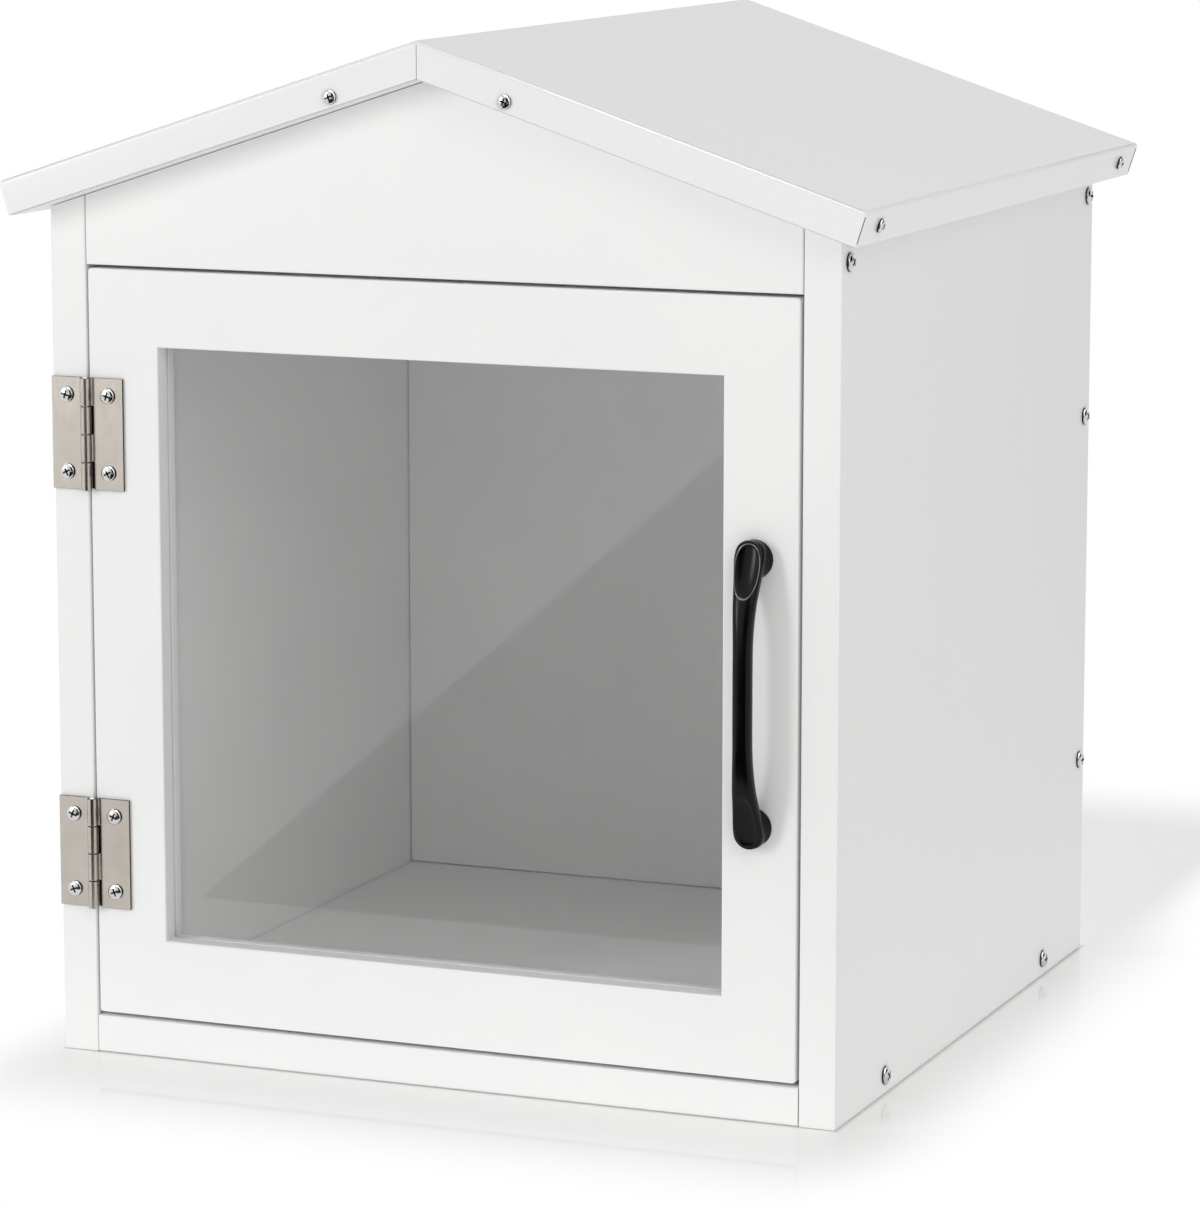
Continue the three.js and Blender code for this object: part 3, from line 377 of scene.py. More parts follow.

# ------------------------------------------------------------
# Door frame: one 17 mm board with its window cut out and rebated from behind, its corners and
# arrises sanded round, rolled with the same satin paint as the cabinet.

# Satin paint with near black painted shade in a strip 1.7 mm wide behind each hinge's knuckles,
# so the notches beside them look down into black.
hinge_heights, knuckle_shade_half = {"lower": 92.0, "upper": 281.5}, 24.6
behind_knuckles = (((1, 0, 0), -166.3, -164.6), ((0, 1, 0), -182.6, -181.4))
door_paint_with_knuckle_shade = paint_shade_areas(
    satin_paint, "satin_paint_with_painted_knuckle_shade",
    [[1.0, *behind_knuckles, ((0, 0, 1), height - knuckle_shade_half, height + knuckle_shade_half)]
     for height in hinge_heights.values()],
    "#070606", "#1F1D1B")
dress("door_frame", door_paint_with_knuckle_shade)

# ------------------------------------------------------------
# Glazing: a 3 mm cast acrylic pane lies against the window's lip, and four mitred wooden
# beads, painted with the door, hold it in the rebate from behind.

# Cast acrylic: clear, a little less shiny than glass, with long faint ripples from the
# casting. Lamp light passes straight through, as it does through so thin a pane.
acrylic, tree, place = new_finish("clear_cast_acrylic")
ripple = add(tree, "ShaderNodeTexNoise", {"Vector": place, "Scale": 1 / (45 * MM), "Detail": 1.0})
film = add(tree, "ShaderNodeMapRange", {
    "Value": ripple, "From Min": 0.3, "From Max": 0.7, "To Min": 0.01, "To Max": 0.03})
relief = add(tree, "ShaderNodeBump", {"Height": ripple, "Distance": 0.02 * MM, "Strength": 0.5})
shade = add(tree, "ShaderNodeMix", {
    0: ripple, 6: hex_colour("#FAFAFA"), 7: hex_colour("#FFFFFF")}, data_type="RGBA")
pane = add(tree, "ShaderNodeBsdfPrincipled", {
    "Base Color": shade, "Transmission Weight": 1.0,
    "Roughness": film, "IOR": 1.49, "Normal": relief})
ray = add(tree, "ShaderNodeLightPath").outputs
light_ray = add(tree, "ShaderNodeMath", {
    0: ray["Is Shadow Ray"], 1: ray["Is Diffuse Ray"]}, operation="MAXIMUM")
clear = add(tree, "ShaderNodeBsdfTransparent", {"Color": hex_colour("#FCFCFC")})
passed = add(tree, "ShaderNodeMixShader", {"Fac": light_ray, 1: pane, 2: clear})
add(tree, "ShaderNodeOutputMaterial", {"Surface": passed})
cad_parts["window_pane"].data.materials.clear()
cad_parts["window_pane"].data.materials.append(acrylic)

for bead in ("bottom", "top", "left", "right"):
    dress(f"glazing_bead_{bead}", satin_paint)

# ------------------------------------------------------------
# Butt hinges: two 50 x 35 mm hinges. Each leaf is 1.2 mm steel whose tabs curl round a 2.5 mm
# pin, two knuckles on the cabinet's leaf and two on the door's, plated in satin nickel.

# Satin nickel: warm pale metal, brushed along the leaf's height, with strokes about 0.35 mm
# apart drawn out to 12 mm, so that it glows softly and never mirrors.
satin_nickel, tree, place = new_finish("brushed_satin_nickel")
stretched = add(tree, "ShaderNodeMapping", {"Vector": place, "Scale": (1, 1, 0.03)})
strokes = add(tree, "ShaderNodeTexNoise", {"Vector": stretched, "Scale": 1 / (0.35 * MM), "Detail": 2.0})
haze = add(tree, "ShaderNodeTexNoise", {"Vector": place, "Scale": 1 / (9 * MM), "Detail": 2.0})
brushed = add(tree, "ShaderNodeMapRange", {
    "Value": strokes, "From Min": 0.3, "From Max": 0.7, "To Min": 0.17, "To Max": 0.24})
relief = add(tree, "ShaderNodeBump", {"Height": strokes, "Distance": 0.004 * MM})
shade = add(tree, "ShaderNodeMix", {
    0: haze, 6: hex_colour("#B3ACA4"), 7: hex_colour("#C5BEB6")}, data_type="RGBA")
nickel = add(tree, "ShaderNodeBsdfPrincipled", {
    "Base Color": shade, "Metallic": 1.0, "Roughness": brushed, "Normal": relief})
add(tree, "ShaderNodeOutputMaterial", {"Surface": nickel})

# The leaves' sheared edges: the same plating, thin and dull over torn steel, and darkened further
# as painted shade, so each leaf is drawn round with a fine dark line like a shadow gap.
edge_finish_with_painted_shade, tree, place = new_finish("dull_edge_with_painted_shade")
tear = add(tree, "ShaderNodeTexNoise", {"Vector": place, "Scale": 1 / (0.6 * MM), "Detail": 2.0})
torn = add(tree, "ShaderNodeBump", {"Height": tear, "Distance": 0.02 * MM})
shade = add(tree, "ShaderNodeMix", {
    0: tear, 6: hex_colour("#403B37"), 7: hex_colour("#625D56")}, data_type="RGBA")
edge = add(tree, "ShaderNodeBsdfPrincipled", {
    "Base Color": shade, "Metallic": 1.0, "Roughness": 0.45, "Normal": torn})
add(tree, "ShaderNodeOutputMaterial", {"Surface": edge})

hinge_x, hinge_y = -167.5, -185.0
leaf_half, leaf_reach, leaf_inner = 25.0, 17.5, 3.05
leaf_back, leaf_front = -2.9, -1.7
barrel, bore, bend, sheet = 2.35, 1.3, 0.7, 1.2
knuckle, knuckle_gap = 12.5, 0.4


def arc(centre, radius, start, end, steps=12):
    """Points on an arc, from one angle in degrees to another."""
    angles = [math.radians(start + (end - start) * i / steps) for i in range(steps + 1)]
    return [(centre[0] + radius * math.cos(a), centre[1] + radius * math.sin(a)) for a in angles]


def close_up(mesh):
    """Merges the points that lie on each other and turns all faces outwards."""
    bmesh.ops.remove_doubles(mesh, verts=mesh.verts, dist=0.001 * MM)
    bmesh.ops.recalc_face_normals(mesh, faces=mesh.faces)


def plain_mesh(mesh, name, *finishes):
    """What was built as a plain mesh in its finishes."""
    data = bpy.data.meshes.new(name)
    mesh.to_mesh(data)
    mesh.free()
    for finish in finishes:
        data.materials.append(finish)
    return data


def hinge_leaf(name, body, side, tabs, height):
    """One leaf: its plate, and a knuckle at each tab, a strap of the plate that bends up, curls
    round the pin and ends inside its own curl."""
    swing = (leaf_inner, leaf_front + bend)
    curl = (arc(swing, bend, -90, -178) + arc((0, 0), barrel, 0, 296, 36)
            + arc((0, 0), bore, 296, -10, 30) + arc(swing, bend + sheet, -172, -90))
    plate = [(leaf_reach, leaf_back), (leaf_reach, leaf_front),
             (leaf_inner, leaf_front), (leaf_inner, leaf_back)]
    tabbed = plate[:2] + curl
    mesh = bmesh.new()

    def corner(point, z):
        return mesh.verts.new(Vector((hinge_x + side * point[0], hinge_y - point[1], height + z)) * MM)

    def wall(outline, z0, z1):
        low, high = [corner(p, z0) for p in outline], [corner(p, z1) for p in outline]
        for i in range(len(outline)):
            j = (i + 1) % len(outline)
            mesh.faces.new((low[i], low[j], high[j], high[i]))

    levels = [-leaf_half + knuckle * i for i in range(5)]
    edges = [(levels[t] + knuckle_gap / 2 if t else -leaf_half,
              levels[t + 1] - knuckle_gap / 2 if t < 3 else leaf_half) for t in tabs]
    z = -leaf_half
    for z0, z1 in edges + [(leaf_half, leaf_half)]:
        if z0 > z:
            wall(plate, z, z0)
        if z1 > z0:
            wall(tabbed, z0, z1)
            for level in (z0, z1):
                rim = tabbed if abs(level) == leaf_half else curl
                mesh.faces.new([corner(p, level) for p in rim])
        z = z1
    for level in (-leaf_half, leaf_half):
        if level not in [z for pair in edges for z in pair]:
            mesh.faces.new([corner(p, level) for p in plate])
    close_up(mesh)
    # The sheared outer edge and the top and bottom faces take the dark edge finish: painted shade round the
    # leaf.
    for face in mesh.faces:
        rim = all(abs(abs(vertex.co.x / MM - hinge_x) - leaf_reach) < 0.01 for vertex in face.verts)
        face.material_index = 1 if rim or abs(face.normal.z) > 0.7 else 0
    leaf = set_out(name, plain_mesh(mesh, name, satin_nickel, edge_finish_with_painted_shade))
    rounding = leaf.modifiers.new("rounded edges", "BEVEL")
    rounding.width = 0.3 * MM
    rounding.segments = 2
    rounding.material = 1
    rounding.limit_method = "ANGLE"
    rounding.angle_limit = math.radians(40)
    leaf.modifiers.new("crisp edges", "NODES").node_group = crisp_edges
    leaf.modifiers.new("even shading", "WEIGHTED_NORMAL").keep_sharp = True
    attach(leaf, body)
    return leaf


def turned_pin(name, height):
    """The pin: a steel rod with a small dome at each end, turned about the hinge's axis."""
    radius, dome, dome_steps, sides = 1.25, 0.7, 6, 40
    leans = [math.pi / 2 * i / dome_steps for i in range(dome_steps + 1)]
    profile = [(radius * math.sin(lean), -leaf_half - dome * math.cos(lean)) for lean in leans]
    profile += [(r, -z) for r, z in reversed(profile)]
    turns = [2 * math.pi * k / sides for k in range(sides)]
    mesh = bmesh.new()
    rings = [[mesh.verts.new(Vector((
        hinge_x + r * math.cos(a), hinge_y + r * math.sin(a), height + z)) * MM)
        for a in turns] for r, z in profile]
    for lower, upper in zip(rings, rings[1:]):
        for k in range(sides):
            mesh.faces.new((lower[k], lower[(k + 1) % sides], upper[(k + 1) % sides], upper[k]))
    close_up(mesh)
    for face in mesh.faces:
        face.smooth = True
    pin = set_out(name, plain_mesh(mesh, name, bright_zinc))
    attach(pin, "cabinet")
    return pin


hinge_size = {
    "Head Radius": 3.45, "Head Height": 1.65, "Shank Radius": 1.4, "Shank Length": 13, "Rim Height": 0.5}
screw_out, screw_up, under_heads = 10.2, 17.2, -183.4
for word, height in hinge_heights.items():
    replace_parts(hinge_leaf(f"hinge_{word}_cabinet_leaf", "cabinet", -1, (0, 2), height),
                f"hinge_{word}_frame_leaf")
    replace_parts(hinge_leaf(f"hinge_{word}_swing_leaf", "door", 1, (1, 3), height),
                f"hinge_{word}_door_leaf")
    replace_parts(turned_pin(f"hinge_{word}_turned_pin", height), f"hinge_{word}_pin")
for member, body, side in (("frame", "cabinet", -1), ("door", "door", 1)):
    drive_screws(
        f"hinge_screws_{member}", body,
        [((hinge_x + side * screw_out, under_heads, height + end * screw_up), (0, -1, 0))
         for height in hinge_heights.values() for end in (-1, 1)],
        hinge_size,
        [f"hinge_{word}_{member}_screw_{where}" for word in hinge_heights for where in ("bottom", "top")])

# ------------------------------------------------------------
# Pull handle: an arched die-cast bar that widens to two hollowed ends, each on a round post
# that two machine screws draw against the door from behind. Stoved black satin enamel.

# Black satin enamel: deep black with a soft sheen and a fine spray texture about 0.7 mm across.
# A painted highlight of pale bare metal runs round the rims of the dishes, nearly all on the upper one.
black_enamel, tree, place = new_finish("stoved_black_satin_enamel")
spray = add(tree, "ShaderNodeTexNoise", {"Vector": place, "Scale": 1 / (0.7 * MM), "Detail": 2.0})
film = add(tree, "ShaderNodeTexNoise", {"Vector": place, "Scale": 1 / (12 * MM), "Detail": 2.0})
sheen = add(tree, "ShaderNodeMapRange", {
    "Value": film, "From Min": 0.3, "From Max": 0.7, "To Min": 0.19, "To Max": 0.25})
relief = add(tree, "ShaderNodeBump", {"Height": spray, "Distance": 0.006 * MM})
rubbed = add(tree, "ShaderNodeAttribute", attribute_name="rim").outputs["Fac"]
enamel_colour = add(tree, "ShaderNodeMix", {
    0: film, 6: hex_colour("#020202"), 7: hex_colour("#080808")}, data_type="RGBA")
enamel_with_glint = add(tree, "ShaderNodeMix", {
    0: rubbed, 6: enamel_colour, 7: hex_colour("#9C9C9B")}, data_type="RGBA")
enamel = add(tree, "ShaderNodeBsdfPrincipled", {
    "Base Color": enamel_with_glint, "Metallic": rubbed, "Roughness": sheen, "IOR": 1.5,
    "Specular IOR Level": 0.17, "Normal": relief})
add(tree, "ShaderNodeOutputMaterial", {"Surface": enamel})

# The bar's rule: a grid is wrapped round into rings along the length. Every ring takes its
# width, thickness and reach from how far it lies from the middle, and the dishes are pressed
# into the front with a soft rim. The length runs along Z and the reach along -Y.
pull = bpy.data.node_groups.new("arched_pull", "GeometryNodeTree")
for label, size in (("Half Length", 66.1), ("Reach", 18), ("Half Width", 4.1), ("Flare", 2.6),
                    ("Straight", 20), ("Thickness", 8), ("Thinning", 1), ("Dish Reach", 15.2),
                    ("Dish Length", 25), ("Dish Margin", 1.3), ("Dish Half Width", 5.5),
                    ("Dish Depth", 1.5), ("Dish Rim", 0.28), ("Dish Lip", 3),
                    ("Post Inset", 8.6), ("Post Radius", 6.1), ("Post Spread", 2.5), ("Post Cover", 2.5),
                    ("Foot Round", 0.5)):
    open_socket(pull, label, "Float", size * MM)
open_socket(pull, "Fall", "Float", 8.7 / 25)
open_socket(pull, "Finish", "Material", black_enamel)
open_socket(pull, "Pull", "Geometry", way="OUTPUT")
nose_power, oval_power, rim_band, eased_share = 2.4, 2.3, 0.07, 0.08
# Each row is one step of the rule: its name, what it does, and what it does that to.
steps = [
    ("angle", "MULTIPLY", "y", 2 * math.pi),
    ("quarter", "MULTIPLY", "x", math.pi / 2),
    ("spacing", "SINE", "quarter"),
    ("along", "MULTIPLY", "spacing", "Half Length"),
    ("away", "ABSOLUTE", "along"),
    # The front falls in an arch as far as the dish, and then in a straight line.
    ("dish start", "SUBTRACT", "Half Length", "Dish Length"),
    ("run share", "DIVIDE", "away", "dish start"),
    ("arch share", "MINIMUM", "run share", 1.0),
    ("arch", "POWER", "arch share", 4.0),
    ("drop", "SUBTRACT", "Dish Reach", "Reach"),
    ("arched", "MULTIPLY_ADD", "arch", "drop", "Reach"),
    ("past start", "SUBTRACT", "away", "dish start"),
    ("past dish", "MAXIMUM", "past start", 0.0),
    ("sloped", "MULTIPLY", "past dish", "Fall"),
    ("front", "SUBTRACT", "arched", "sloped"),
    # The bar widens from its straight middle to the post, and closes in a blunt round nose.
    ("post centre", "SUBTRACT", "Half Length", "Post Inset"),
    ("widening run", "SUBTRACT", "post centre", "Straight"),
    ("past straight", "SUBTRACT", "away", "Straight"),
    ("run in", "DIVIDE", "past straight", "widening run"),
    ("from none", "MAXIMUM", "run in", 0.0),
    ("widening", "MINIMUM", "from none", 1.0),
    ("end width", "ADD", "Half Width", "Flare"),
    ("nose start", "SUBTRACT", "Half Length", "end width"),
    ("past nose start", "SUBTRACT", "away", "nose start"),
    ("in nose", "MAXIMUM", "past nose start", 0.0),
    ("tip", "DIVIDE", "in nose", "end width"),
    ("tip curve", "POWER", "tip", nose_power),
    ("closing", "SUBTRACT", 1.0, "tip curve"),
    ("still open", "MAXIMUM", "closing", 0.0),
    ("nose", "POWER", "still open", 1 / nose_power),
    ("flare curve", "POWER", "widening", 1.7),
    ("flared", "MULTIPLY_ADD", "flare curve", "Flare", "Half Width"),
    ("ring width", "MULTIPLY", "flared", "nose"),
    ("thinner by", "MULTIPLY", "widening", "Thinning"),
    ("thinned", "SUBTRACT", "Thickness", "thinner by"),
    ("nose thinning", "SQRT", "nose"),
    ("full thickness", "MULTIPLY", "thinned", "nose thinning"),
    ("ring depth", "MULTIPLY", "full thickness", 0.5),
    ("squareness", "MULTIPLY_ADD", "widening", -0.2, 0.8)]
# Every ring is an oval that is squared off, the more so the wider the bar is there.
for side, wave, size in (("across", "cosine", "ring width"), ("rise", "sine", "ring depth")):
    steps += [
        (wave, wave.upper(), "angle"),
        (f"bare {wave}", "ABSOLUTE", wave),
        (f"squared {wave}", "POWER", f"bare {wave}", "squareness"),
        (f"{wave} sign", "SIGN", wave),
        (f"signed {wave}", "MULTIPLY", f"squared {wave}", f"{wave} sign"),
        (side, "MULTIPLY", f"signed {wave}", size)]
steps += [
    ("core", "SUBTRACT", "front", "ring depth"),
    ("outer", "ADD", "core", "rise"),
    # The dish: a tapered oval, hollow inside 1 and rising gently outside it.
    ("half dish", "MULTIPLY", "Dish Length", 0.5),
    ("dish reach", "SUBTRACT", "half dish", "Dish Margin"),
    ("from middle", "SUBTRACT", "past start", "half dish"),
    ("dish place", "DIVIDE", "from middle", "dish reach"),
    ("taper", "MULTIPLY_ADD", "dish place", 0.12, 1.0),
    ("dish width", "MULTIPLY", "Dish Half Width", "taper"),
    ("off centre", "ABSOLUTE", "across"),
    ("side share", "DIVIDE", "off centre", "dish width"),
    ("side curve", "POWER", "side share", oval_power),
    ("end share", "ABSOLUTE", "dish place"),
    ("end curve", "POWER", "end share", oval_power),
    ("oval", "ADD", "side curve", "end curve"),
    ("from rim", "SUBTRACT", "oval", 1.0),
    ("outside", "MAXIMUM", "from rim", 0.0),
    ("to rim", "SUBTRACT", 1.0, "oval"),
    ("inside", "MAXIMUM", "to rim", 0.0),
    ("around", "MULTIPLY_ADD", "outside", "Dish Lip", "front"),
    ("hollow curve", "POWER", "inside", 0.72),
    ("hollow", "MULTIPLY", "hollow curve", "Dish Depth"),
    ("dish floor", "SUBTRACT", "around", "hollow"),
    ("pressed", "SMOOTH_MIN", "outer", "dish floor", "Dish Rim"),
    ("forward", "MULTIPLY", "pressed", -1.0),
    # A painted highlight, pale metal in a narrow band on the front of the rim, the lower one hardly at all.
    ("off rim", "ABSOLUTE", "from rim"),
    ("band", "MULTIPLY_ADD", "off rim", -1 / rim_band, 1.0),
    ("on rim", "MAXIMUM", "band", 0.0),
    ("which end", "SIGN", "along"),
    ("wear", "MULTIPLY_ADD", "which end", 0.49, 0.51),
    ("in front", "GREATER_THAN", "sine", 0.0),
    ("front wear", "MULTIPLY", "in front", "wear"),
    ("rubbed", "MULTIPLY", "on rim", "front wear"),
    # The posts: turned stubs with an eased foot, their tops cut to the dishes' slope.
    ("share", "ADD", "z", 0.5),
    ("share left", "SUBTRACT", 1.0, "share"),
    ("spreading", "POWER", "share left", 1.25),
    ("waist", "MULTIPLY_ADD", "spreading", "Post Spread", "Post Radius"),
    ("above foot", "MULTIPLY_ADD", "share", -1 / eased_share, 1.0),
    ("in foot", "MAXIMUM", "above foot", 0.0),
    ("foot curve", "POWER", "in foot", 3.0),
    ("eased", "MULTIPLY", "foot curve", "Foot Round"),
    ("radius", "SUBTRACT", "waist", "eased"),
    ("post x", "MULTIPLY", "x", "radius"),
    ("post z", "MULTIPLY", "y", "radius"),
    ("post run", "SUBTRACT", "post centre", "dish start"),
    ("run fall", "MULTIPLY", "post run", "Fall"),
    ("post front", "SUBTRACT", "Dish Reach", "run fall"),
    ("post end", "SUBTRACT", "post front", "Post Cover"),
    ("tilt", "MULTIPLY", "post z", "Fall"),
    ("top", "SUBTRACT", "post end", "tilt"),
    ("height", "MULTIPLY", "share", "top"),
    ("post y", "MULTIPLY", "height", -1.0),
    ("post place", "ADD", "post centre", "post z"),
    ("half turn", "MULTIPLY", "index", math.pi)]
rule = {socket.name: socket for socket in add(pull, "NodeGroupInput").outputs}
spot = add(pull, "ShaderNodeSeparateXYZ", {"Vector": add(pull, "GeometryNodeInputPosition")}).outputs
rule.update({"x": spot["X"], "y": spot["Y"], "z": spot["Z"], "index": add(pull, "GeometryNodeInputIndex")})
for step, operation, *terms in steps:
    values = {place: rule.get(term, term) for place, term in enumerate(terms)}
    rule[step] = add(pull, "ShaderNodeMath", values, operation=operation)
wrap = add(pull, "GeometryNodeMeshGrid", {
    "Size X": 2.0, "Size Y": 1.0, "Vertices X": 441, "Vertices Y": 161})
marked = add(pull, "GeometryNodeStoreNamedAttribute", {
    "Geometry": wrap, "Name": "rim", "Value": rule["rubbed"]}, data_type="FLOAT", domain="POINT")
laid = add(pull, "ShaderNodeCombineXYZ", {"X": rule["across"], "Y": rule["forward"], "Z": rule["along"]})
rings = add(pull, "GeometryNodeSetPosition", {"Geometry": marked, "Position": laid})
sealed = add(pull, "GeometryNodeMergeByDistance", {"Geometry": rings, "Distance": 0.002 * MM})
stub = add(pull, "GeometryNodeMeshCylinder", {
    "Vertices": 64, "Side Segments": 16, "Fill Segments": 4, "Radius": 1.0, "Depth": 1.0})
stood = add(pull, "ShaderNodeCombineXYZ", {
    "X": rule["post x"], "Y": rule["post y"], "Z": rule["post place"]})
post = add(pull, "GeometryNodeSetPosition", {"Geometry": stub, "Position": stood})
pair = add(pull, "GeometryNodeMeshLine", {"Count": 2, "Offset": (0, 0, 0)})
over = add(pull, "ShaderNodeCombineXYZ", {"Y": rule["half turn"]})
posts = add(pull, "GeometryNodeInstanceOnPoints", {"Points": pair, "Instance": post, "Rotation": over})
whole = add(pull, "GeometryNodeJoinGeometry", {"Geometry": [sealed, posts]})
real = add(pull, "GeometryNodeRealizeInstances", {"Geometry": whole})
smooth = add(pull, "GeometryNodeGroup", {
    "Geometry": real, "Crease": math.radians(60)}, node_tree=crisp_edges)
sprayed = add(pull, "GeometryNodeSetMaterial", {"Geometry": smooth, "Material": rule["Finish"]})
add(pull, "NodeGroupOutput", {"Pull": sprayed})

handle = set_out("arched_pull", bpy.data.meshes.new("arched_pull"))
grow(handle, pull, {"Finish": black_enamel})
pull_x, door_front, door_middle = 147, -182.1, 186.75
for vertex in handle.data.vertices:
    vertex.co += Vector((pull_x, door_front, door_middle)) * MM
mesh = bmesh.new()
mesh.from_mesh(handle.data)
bmesh.ops.recalc_face_normals(mesh, faces=mesh.faces)
mesh.to_mesh(handle.data)
mesh.free()
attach(handle, "door")
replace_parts(handle, "pull_handle")
door_back, post_offset = -164.9, 57.5
drive_screws(
    "pull_screws", "door",
    [((pull_x, door_back, door_middle + end * post_offset), (0, 1, 0)) for end in (-1, 1)],
    {"Head Radius": 4, "Head Height": 2.4, "Shank Radius": 1.9, "Shank Length": 22, "Rim Height": 0.8},
    ["pull_screw_lower", "pull_screw_upper"])

# ------------------------------------------------------------
# Magnetic catch: a moulded case screwed to the right side panel holds a magnet between two
# steel poles. They meet the strike plate, which one countersunk screw holds on the door.

# Moulded ABS: white, slightly creamy, with the fine matt grain of a spark-eroded mould.
moulded_abs, tree, place = new_finish("moulded_white_abs")
spark = add(tree, "ShaderNodeTexNoise", {"Vector": place, "Scale": 1 / (0.45 * MM), "Detail": 2.0})
flow = add(tree, "ShaderNodeTexNoise", {"Vector": place, "Scale": 1 / (14 * MM), "Detail": 1.0})
matt = add(tree, "ShaderNodeMapRange", {
    "Value": spark, "From Min": 0.3, "From Max": 0.7, "To Min": 0.46, "To Max": 0.58})
relief = add(tree, "ShaderNodeBump", {"Height": spark, "Distance": 0.015 * MM})
shade = add(tree, "ShaderNodeMix", {
    0: flow, 6: hex_colour("#E9E7E1"), 7: hex_colour("#F2F0EB")}, data_type="RGBA")
plastic = add(tree, "ShaderNodeBsdfPrincipled", {
    "Base Color": shade, "Roughness": matt, "IOR": 1.54, "Normal": relief})
add(tree, "ShaderNodeOutputMaterial", {"Surface": plastic})
dress("catch_case", moulded_abs)

# Nickel plated magnet steel, rubbed dull where the strike plate lands on it.
magnet_steel, tree, place = new_finish("dull_nickel_plated_steel")
rub = add(tree, "ShaderNodeTexNoise", {"Vector": place, "Scale": 1 / (3 * MM), "Detail": 4.0})
worn = add(tree, "ShaderNodeMapRange", {
    "Value": rub, "From Min": 0.3, "From Max": 0.7, "To Min": 0.3, "To Max": 0.5})
relief = add(tree, "ShaderNodeBump", {"Height": rub, "Distance": 0.01 * MM})
shade = add(tree, "ShaderNodeMix", {
    0: rub, 6: hex_colour("#868889"), 7: hex_colour("#ABABAB")}, data_type="RGBA")
plate = add(tree, "ShaderNodeBsdfPrincipled", {
    "Base Color": shade, "Metallic": 1.0, "Roughness": worn, "Normal": relief})
add(tree, "ShaderNodeOutputMaterial", {"Surface": plate})
dress("catch_magnet", magnet_steel)
dress("catch_strike", magnet_steel)
dress("strike_screw", bright_zinc)
case_face, case_middle, screw_offset = 155.8, -155.5, 13
drive_screws(
    "catch_screws", "cabinet",
    [((case_face, case_middle, door_middle + end * screw_offset), (-1, 0, 0)) for end in (-1, 1)],
    {"Head Radius": 2.6, "Head Height": 1.6, "Shank Radius": 1.2, "Shank Length": 19, "Rim Height": 0.5},
    ["catch_screw_lower", "catch_screw_upper"])

# ------------------------------------------------------------
# Studio: a pale floor that fades to white a hand's breadth from the box, soft white light all
# round, a tall softbox in front on the left, and the camera.


def seen_as_shown(tree):
    """Whether a ray comes from the camera, from a reflection or through the clear pane."""
    ray = add(tree, "ShaderNodeLightPath").outputs
    seen = add(tree, "ShaderNodeMath", {
        0: ray["Is Camera Ray"], 1: ray["Is Glossy Ray"]}, operation="MAXIMUM")
    return add(tree, "ShaderNodeMath", {0: seen, 1: ray["Is Transmission Ray"]}, operation="MAXIMUM")


floor_paper, tree, place = new_finish("pale_studio_floor")
# The shadow pool is the distance past two corners: it ends soon on both sides, reaches far
# back behind the box with an ever crisper right edge, and meets the box in a fine dark line of painted
# contact shadow.
half_wide, half_deep = 0.185, 0.182
pool_left, pool_right, pool_front, pool_back = 0.176, 0.183, 0.18, 0.45
left_crispness, right_crispness, crisper = 2.6, 2.0, 14.0
front_left = add(tree, "ShaderNodeVectorMath", {
    0: place, 1: (-left_crispness, -1, 0), 2: (-left_crispness * pool_left, -pool_front, 0)},
    operation="MULTIPLY_ADD")
spot = add(tree, "ShaderNodeSeparateXYZ", {"Vector": place}).outputs
behind = add(tree, "ShaderNodeMath", {0: spot["Y"], 1: half_deep}, operation="MAXIMUM")
crispness = add(tree, "ShaderNodeMath", {
    0: behind, 1: crisper, 2: right_crispness - crisper * half_deep}, operation="MULTIPLY_ADD")
beside = add(tree, "ShaderNodeMath", {0: spot["X"], 1: pool_right}, operation="SUBTRACT")
to_right = add(tree, "ShaderNodeMath", {0: beside, 1: crispness}, operation="MULTIPLY")
to_back = add(tree, "ShaderNodeMath", {0: spot["Y"], 1: pool_back}, operation="SUBTRACT")
back_right = add(tree, "ShaderNodeCombineXYZ", {"X": to_right, "Y": to_back})
beyond = add(tree, "ShaderNodeVectorMath", {0: front_left, 1: back_right}, operation="MAXIMUM")
beyond = add(tree, "ShaderNodeVectorMath", {0: beyond, 1: (0, 0, 0)}, operation="MAXIMUM")
distance = add(tree, "ShaderNodeVectorMath", {0: beyond}, operation="LENGTH")
fade = add(tree, "ShaderNodeMapRange", {
    "Value": distance, "From Max": 130 * MM, "To Min": 0.18}, interpolation_type="SMOOTHSTEP")
fold = add(tree, "ShaderNodeVectorMath", {0: place}, operation="ABSOLUTE")
off = add(tree, "ShaderNodeVectorMath", {0: fold, 1: (half_wide, half_deep, 0)}, operation="SUBTRACT")
outside = add(tree, "ShaderNodeVectorMath", {0: off, 1: (0, 0, 0)}, operation="MAXIMUM")
clearance = add(tree, "ShaderNodeVectorMath", {0: outside}, operation="LENGTH")
contact_shadow_mask = add(tree, "ShaderNodeMapRange", {"Value": clearance, "From Max": 2 * MM})
faded = add(tree, "ShaderNodeMath", {0: fade, 1: contact_shadow_mask}, operation="MULTIPLY")
glow = add(tree, "ShaderNodeMapRange", {
    "Value": clearance, "From Min": 80 * MM, "From Max": 200 * MM, "To Min": 1.08, "To Max": 0.8})
bounced = add(tree, "ShaderNodeMapRange", {"Value": contact_shadow_mask, "To Min": 0.25, "To Max": 0.75})
# Painted contact shadow: the floor's own colour darkens within 2 mm of the box.
shade = add(tree, "ShaderNodeMix", {
    0: contact_shadow_mask, 6: hex_colour("#E2E2E0"), 7: hex_colour("#F7F7F6")}, data_type="RGBA")
ground = add(tree, "ShaderNodeBsdfPrincipled", {"Base Color": shade, "Roughness": 0.06, "IOR": 1.35})
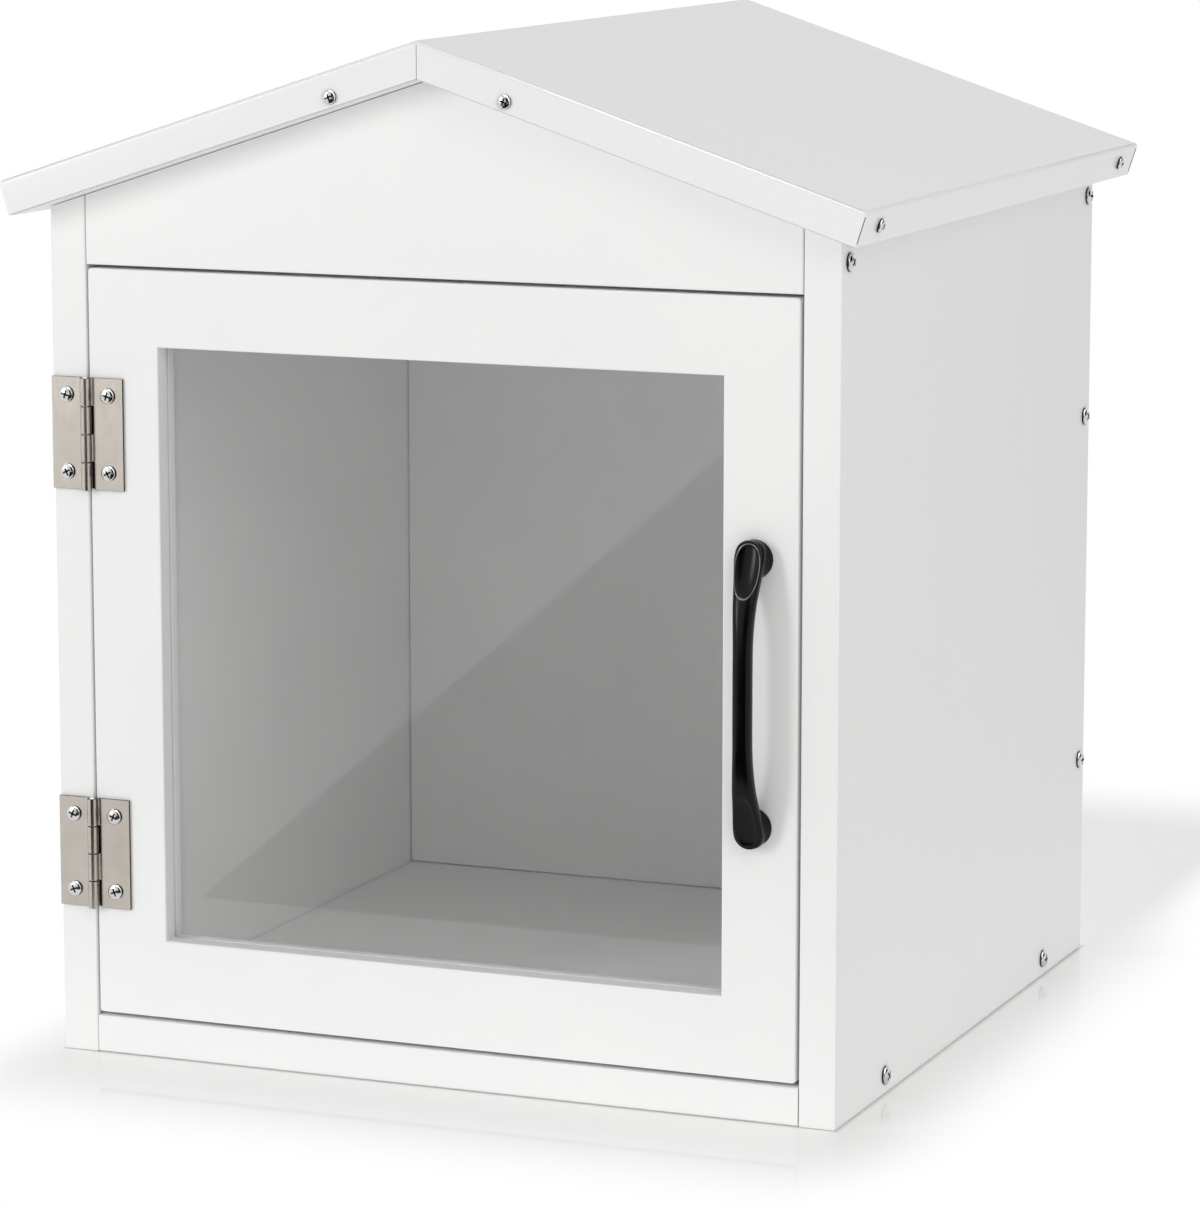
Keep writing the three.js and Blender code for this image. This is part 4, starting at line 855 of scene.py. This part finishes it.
# The camera, a reflection and the clear pane see the floor fade to plain white. All other rays
# meet a pale floor that throws some light back up, a little more of it close to the box.
seen = seen_as_shown(tree)
lit = add(tree, "ShaderNodeMix", {0: seen, 2: bounced, 3: faded}, data_type="FLOAT")
strength = add(tree, "ShaderNodeMix", {0: seen, 2: glow, 3: 1.0}, data_type="FLOAT")
white = add(tree, "ShaderNodeEmission", {"Color": (1, 1, 1, 1), "Strength": strength})
surface = add(tree, "ShaderNodeMixShader", {"Fac": lit, 1: ground, 2: white})
add(tree, "ShaderNodeOutputMaterial", {"Surface": surface})
data = bpy.data.meshes.new("studio_floor")
data.from_pydata([(-30, -30, 0), (30, -30, 0), (30, 30, 0), (-30, 30, 0)], [], [(0, 1, 2, 3)])
data.materials.append(floor_paper)
ground_sheet = set_out("studio_floor", data)
ground_sheet.location.z = -0.3 * MM

world = bpy.data.worlds.new("studio")
bpy.context.scene.world = world
world.use_nodes = True
world.node_tree.nodes.clear()
tree = world.node_tree
# The same rays see a white room, and the box is lit by it at half that strength.
level = add(tree, "ShaderNodeMapRange", {"Value": seen_as_shown(tree), "To Min": 0.5, "To Max": 1.0})
sky = add(tree, "ShaderNodeBackground", {"Color": (1, 1, 1, 1), "Strength": level})
add(tree, "ShaderNodeOutputWorld", {"Surface": sky})


def softbox(name, place, width, height, power, colour="#FFFFFF"):
    """A soft light that hangs at a place and looks at the middle of the box."""
    lamp = bpy.data.lights.new(name, "AREA")
    lamp.shape = "RECTANGLE"
    lamp.size, lamp.size_y = width, height
    lamp.energy = power
    lamp.color = hex_colour(colour)[:3]
    holder = set_out(name, lamp)
    holder.location = place
    holder.rotation_euler = (Vector((0, 0, 0.2)) - Vector(place)).to_track_quat("-Z", "Y").to_euler()
    return holder


softbox("key_softbox", (-1.8, -2.47, 0.94), 0.6, 1.4, 24.4)
softbox("fill_softbox", (0.95, -0.95, 0.95), 1.0, 1.0, 4.2, "#FFFDFB")
softbox("back_softbox", (-0.8, 2.8, 0.8), 1.2, 1.2, 26).visible_glossy = False
# Only reflections see the overhead softbox: it draws the white line along the rakes' folds.
softbox("overhead_softbox", (0.08, -0.35, 2.6), 1.6, 2.0, 84).visible_diffuse = False

# Dark flags stand behind the camera and on the right and lie on the floor in front, as in a
# studio, so that metal and enamel have something dark to mirror. Only reflections see them.
flag_cloth, tree, place = new_finish("dark_flag_cloth")
nap = add(tree, "ShaderNodeTexNoise", {"Vector": place, "Scale": 1 / (20 * MM), "Detail": 2.0})
shade = add(tree, "ShaderNodeMix", {
    0: nap, 6: hex_colour("#050505"), 7: hex_colour("#121212")}, data_type="RGBA")
cloth = add(tree, "ShaderNodeBsdfDiffuse", {"Color": shade})
add(tree, "ShaderNodeOutputMaterial", {"Surface": cloth})
data = bpy.data.meshes.new("dark_flag")
data.from_pydata([
    (-0.35, -3.4, 0), (2.6, -2.4, 0), (2.6, -2.4, 2.2), (-0.35, -3.4, 2.2),
    (-0.26, -0.45, 0.002), (0.5, -0.45, 0.002), (1.9, -2.3, 0.002), (-0.66, -2.4, 0.002),
    (2.4, -0.5, 0.25), (2.4, 2.4, 0.25), (2.4, 2.4, 2.2), (2.4, -0.5, 2.2)],
    [], [(0, 1, 2, 3), (4, 5, 6, 7), (8, 9, 10, 11)])
data.materials.append(flag_cloth)
flag = set_out("dark_flag", data)
flag.visible_camera = flag.visible_diffuse = flag.visible_shadow = flag.visible_transmission = False

lens = bpy.data.cameras.new("camera")
lens.lens = 148.0066
lens.sensor_width = 36
lens.clip_end = 100
camera = set_out("camera", lens)
turned_left, tipped_down = 0.38725, 0.1682
look = Vector((-math.sin(turned_left) * math.cos(tipped_down),
               math.cos(turned_left) * math.cos(tipped_down), -math.sin(tipped_down)))
camera.location = (0.865716, -2.116600, 0.575090)
camera.rotation_euler = look.to_track_quat("-Z", "Y").to_euler()
bpy.context.scene.camera = camera
bpy.context.scene.view_settings.view_transform = "Standard"
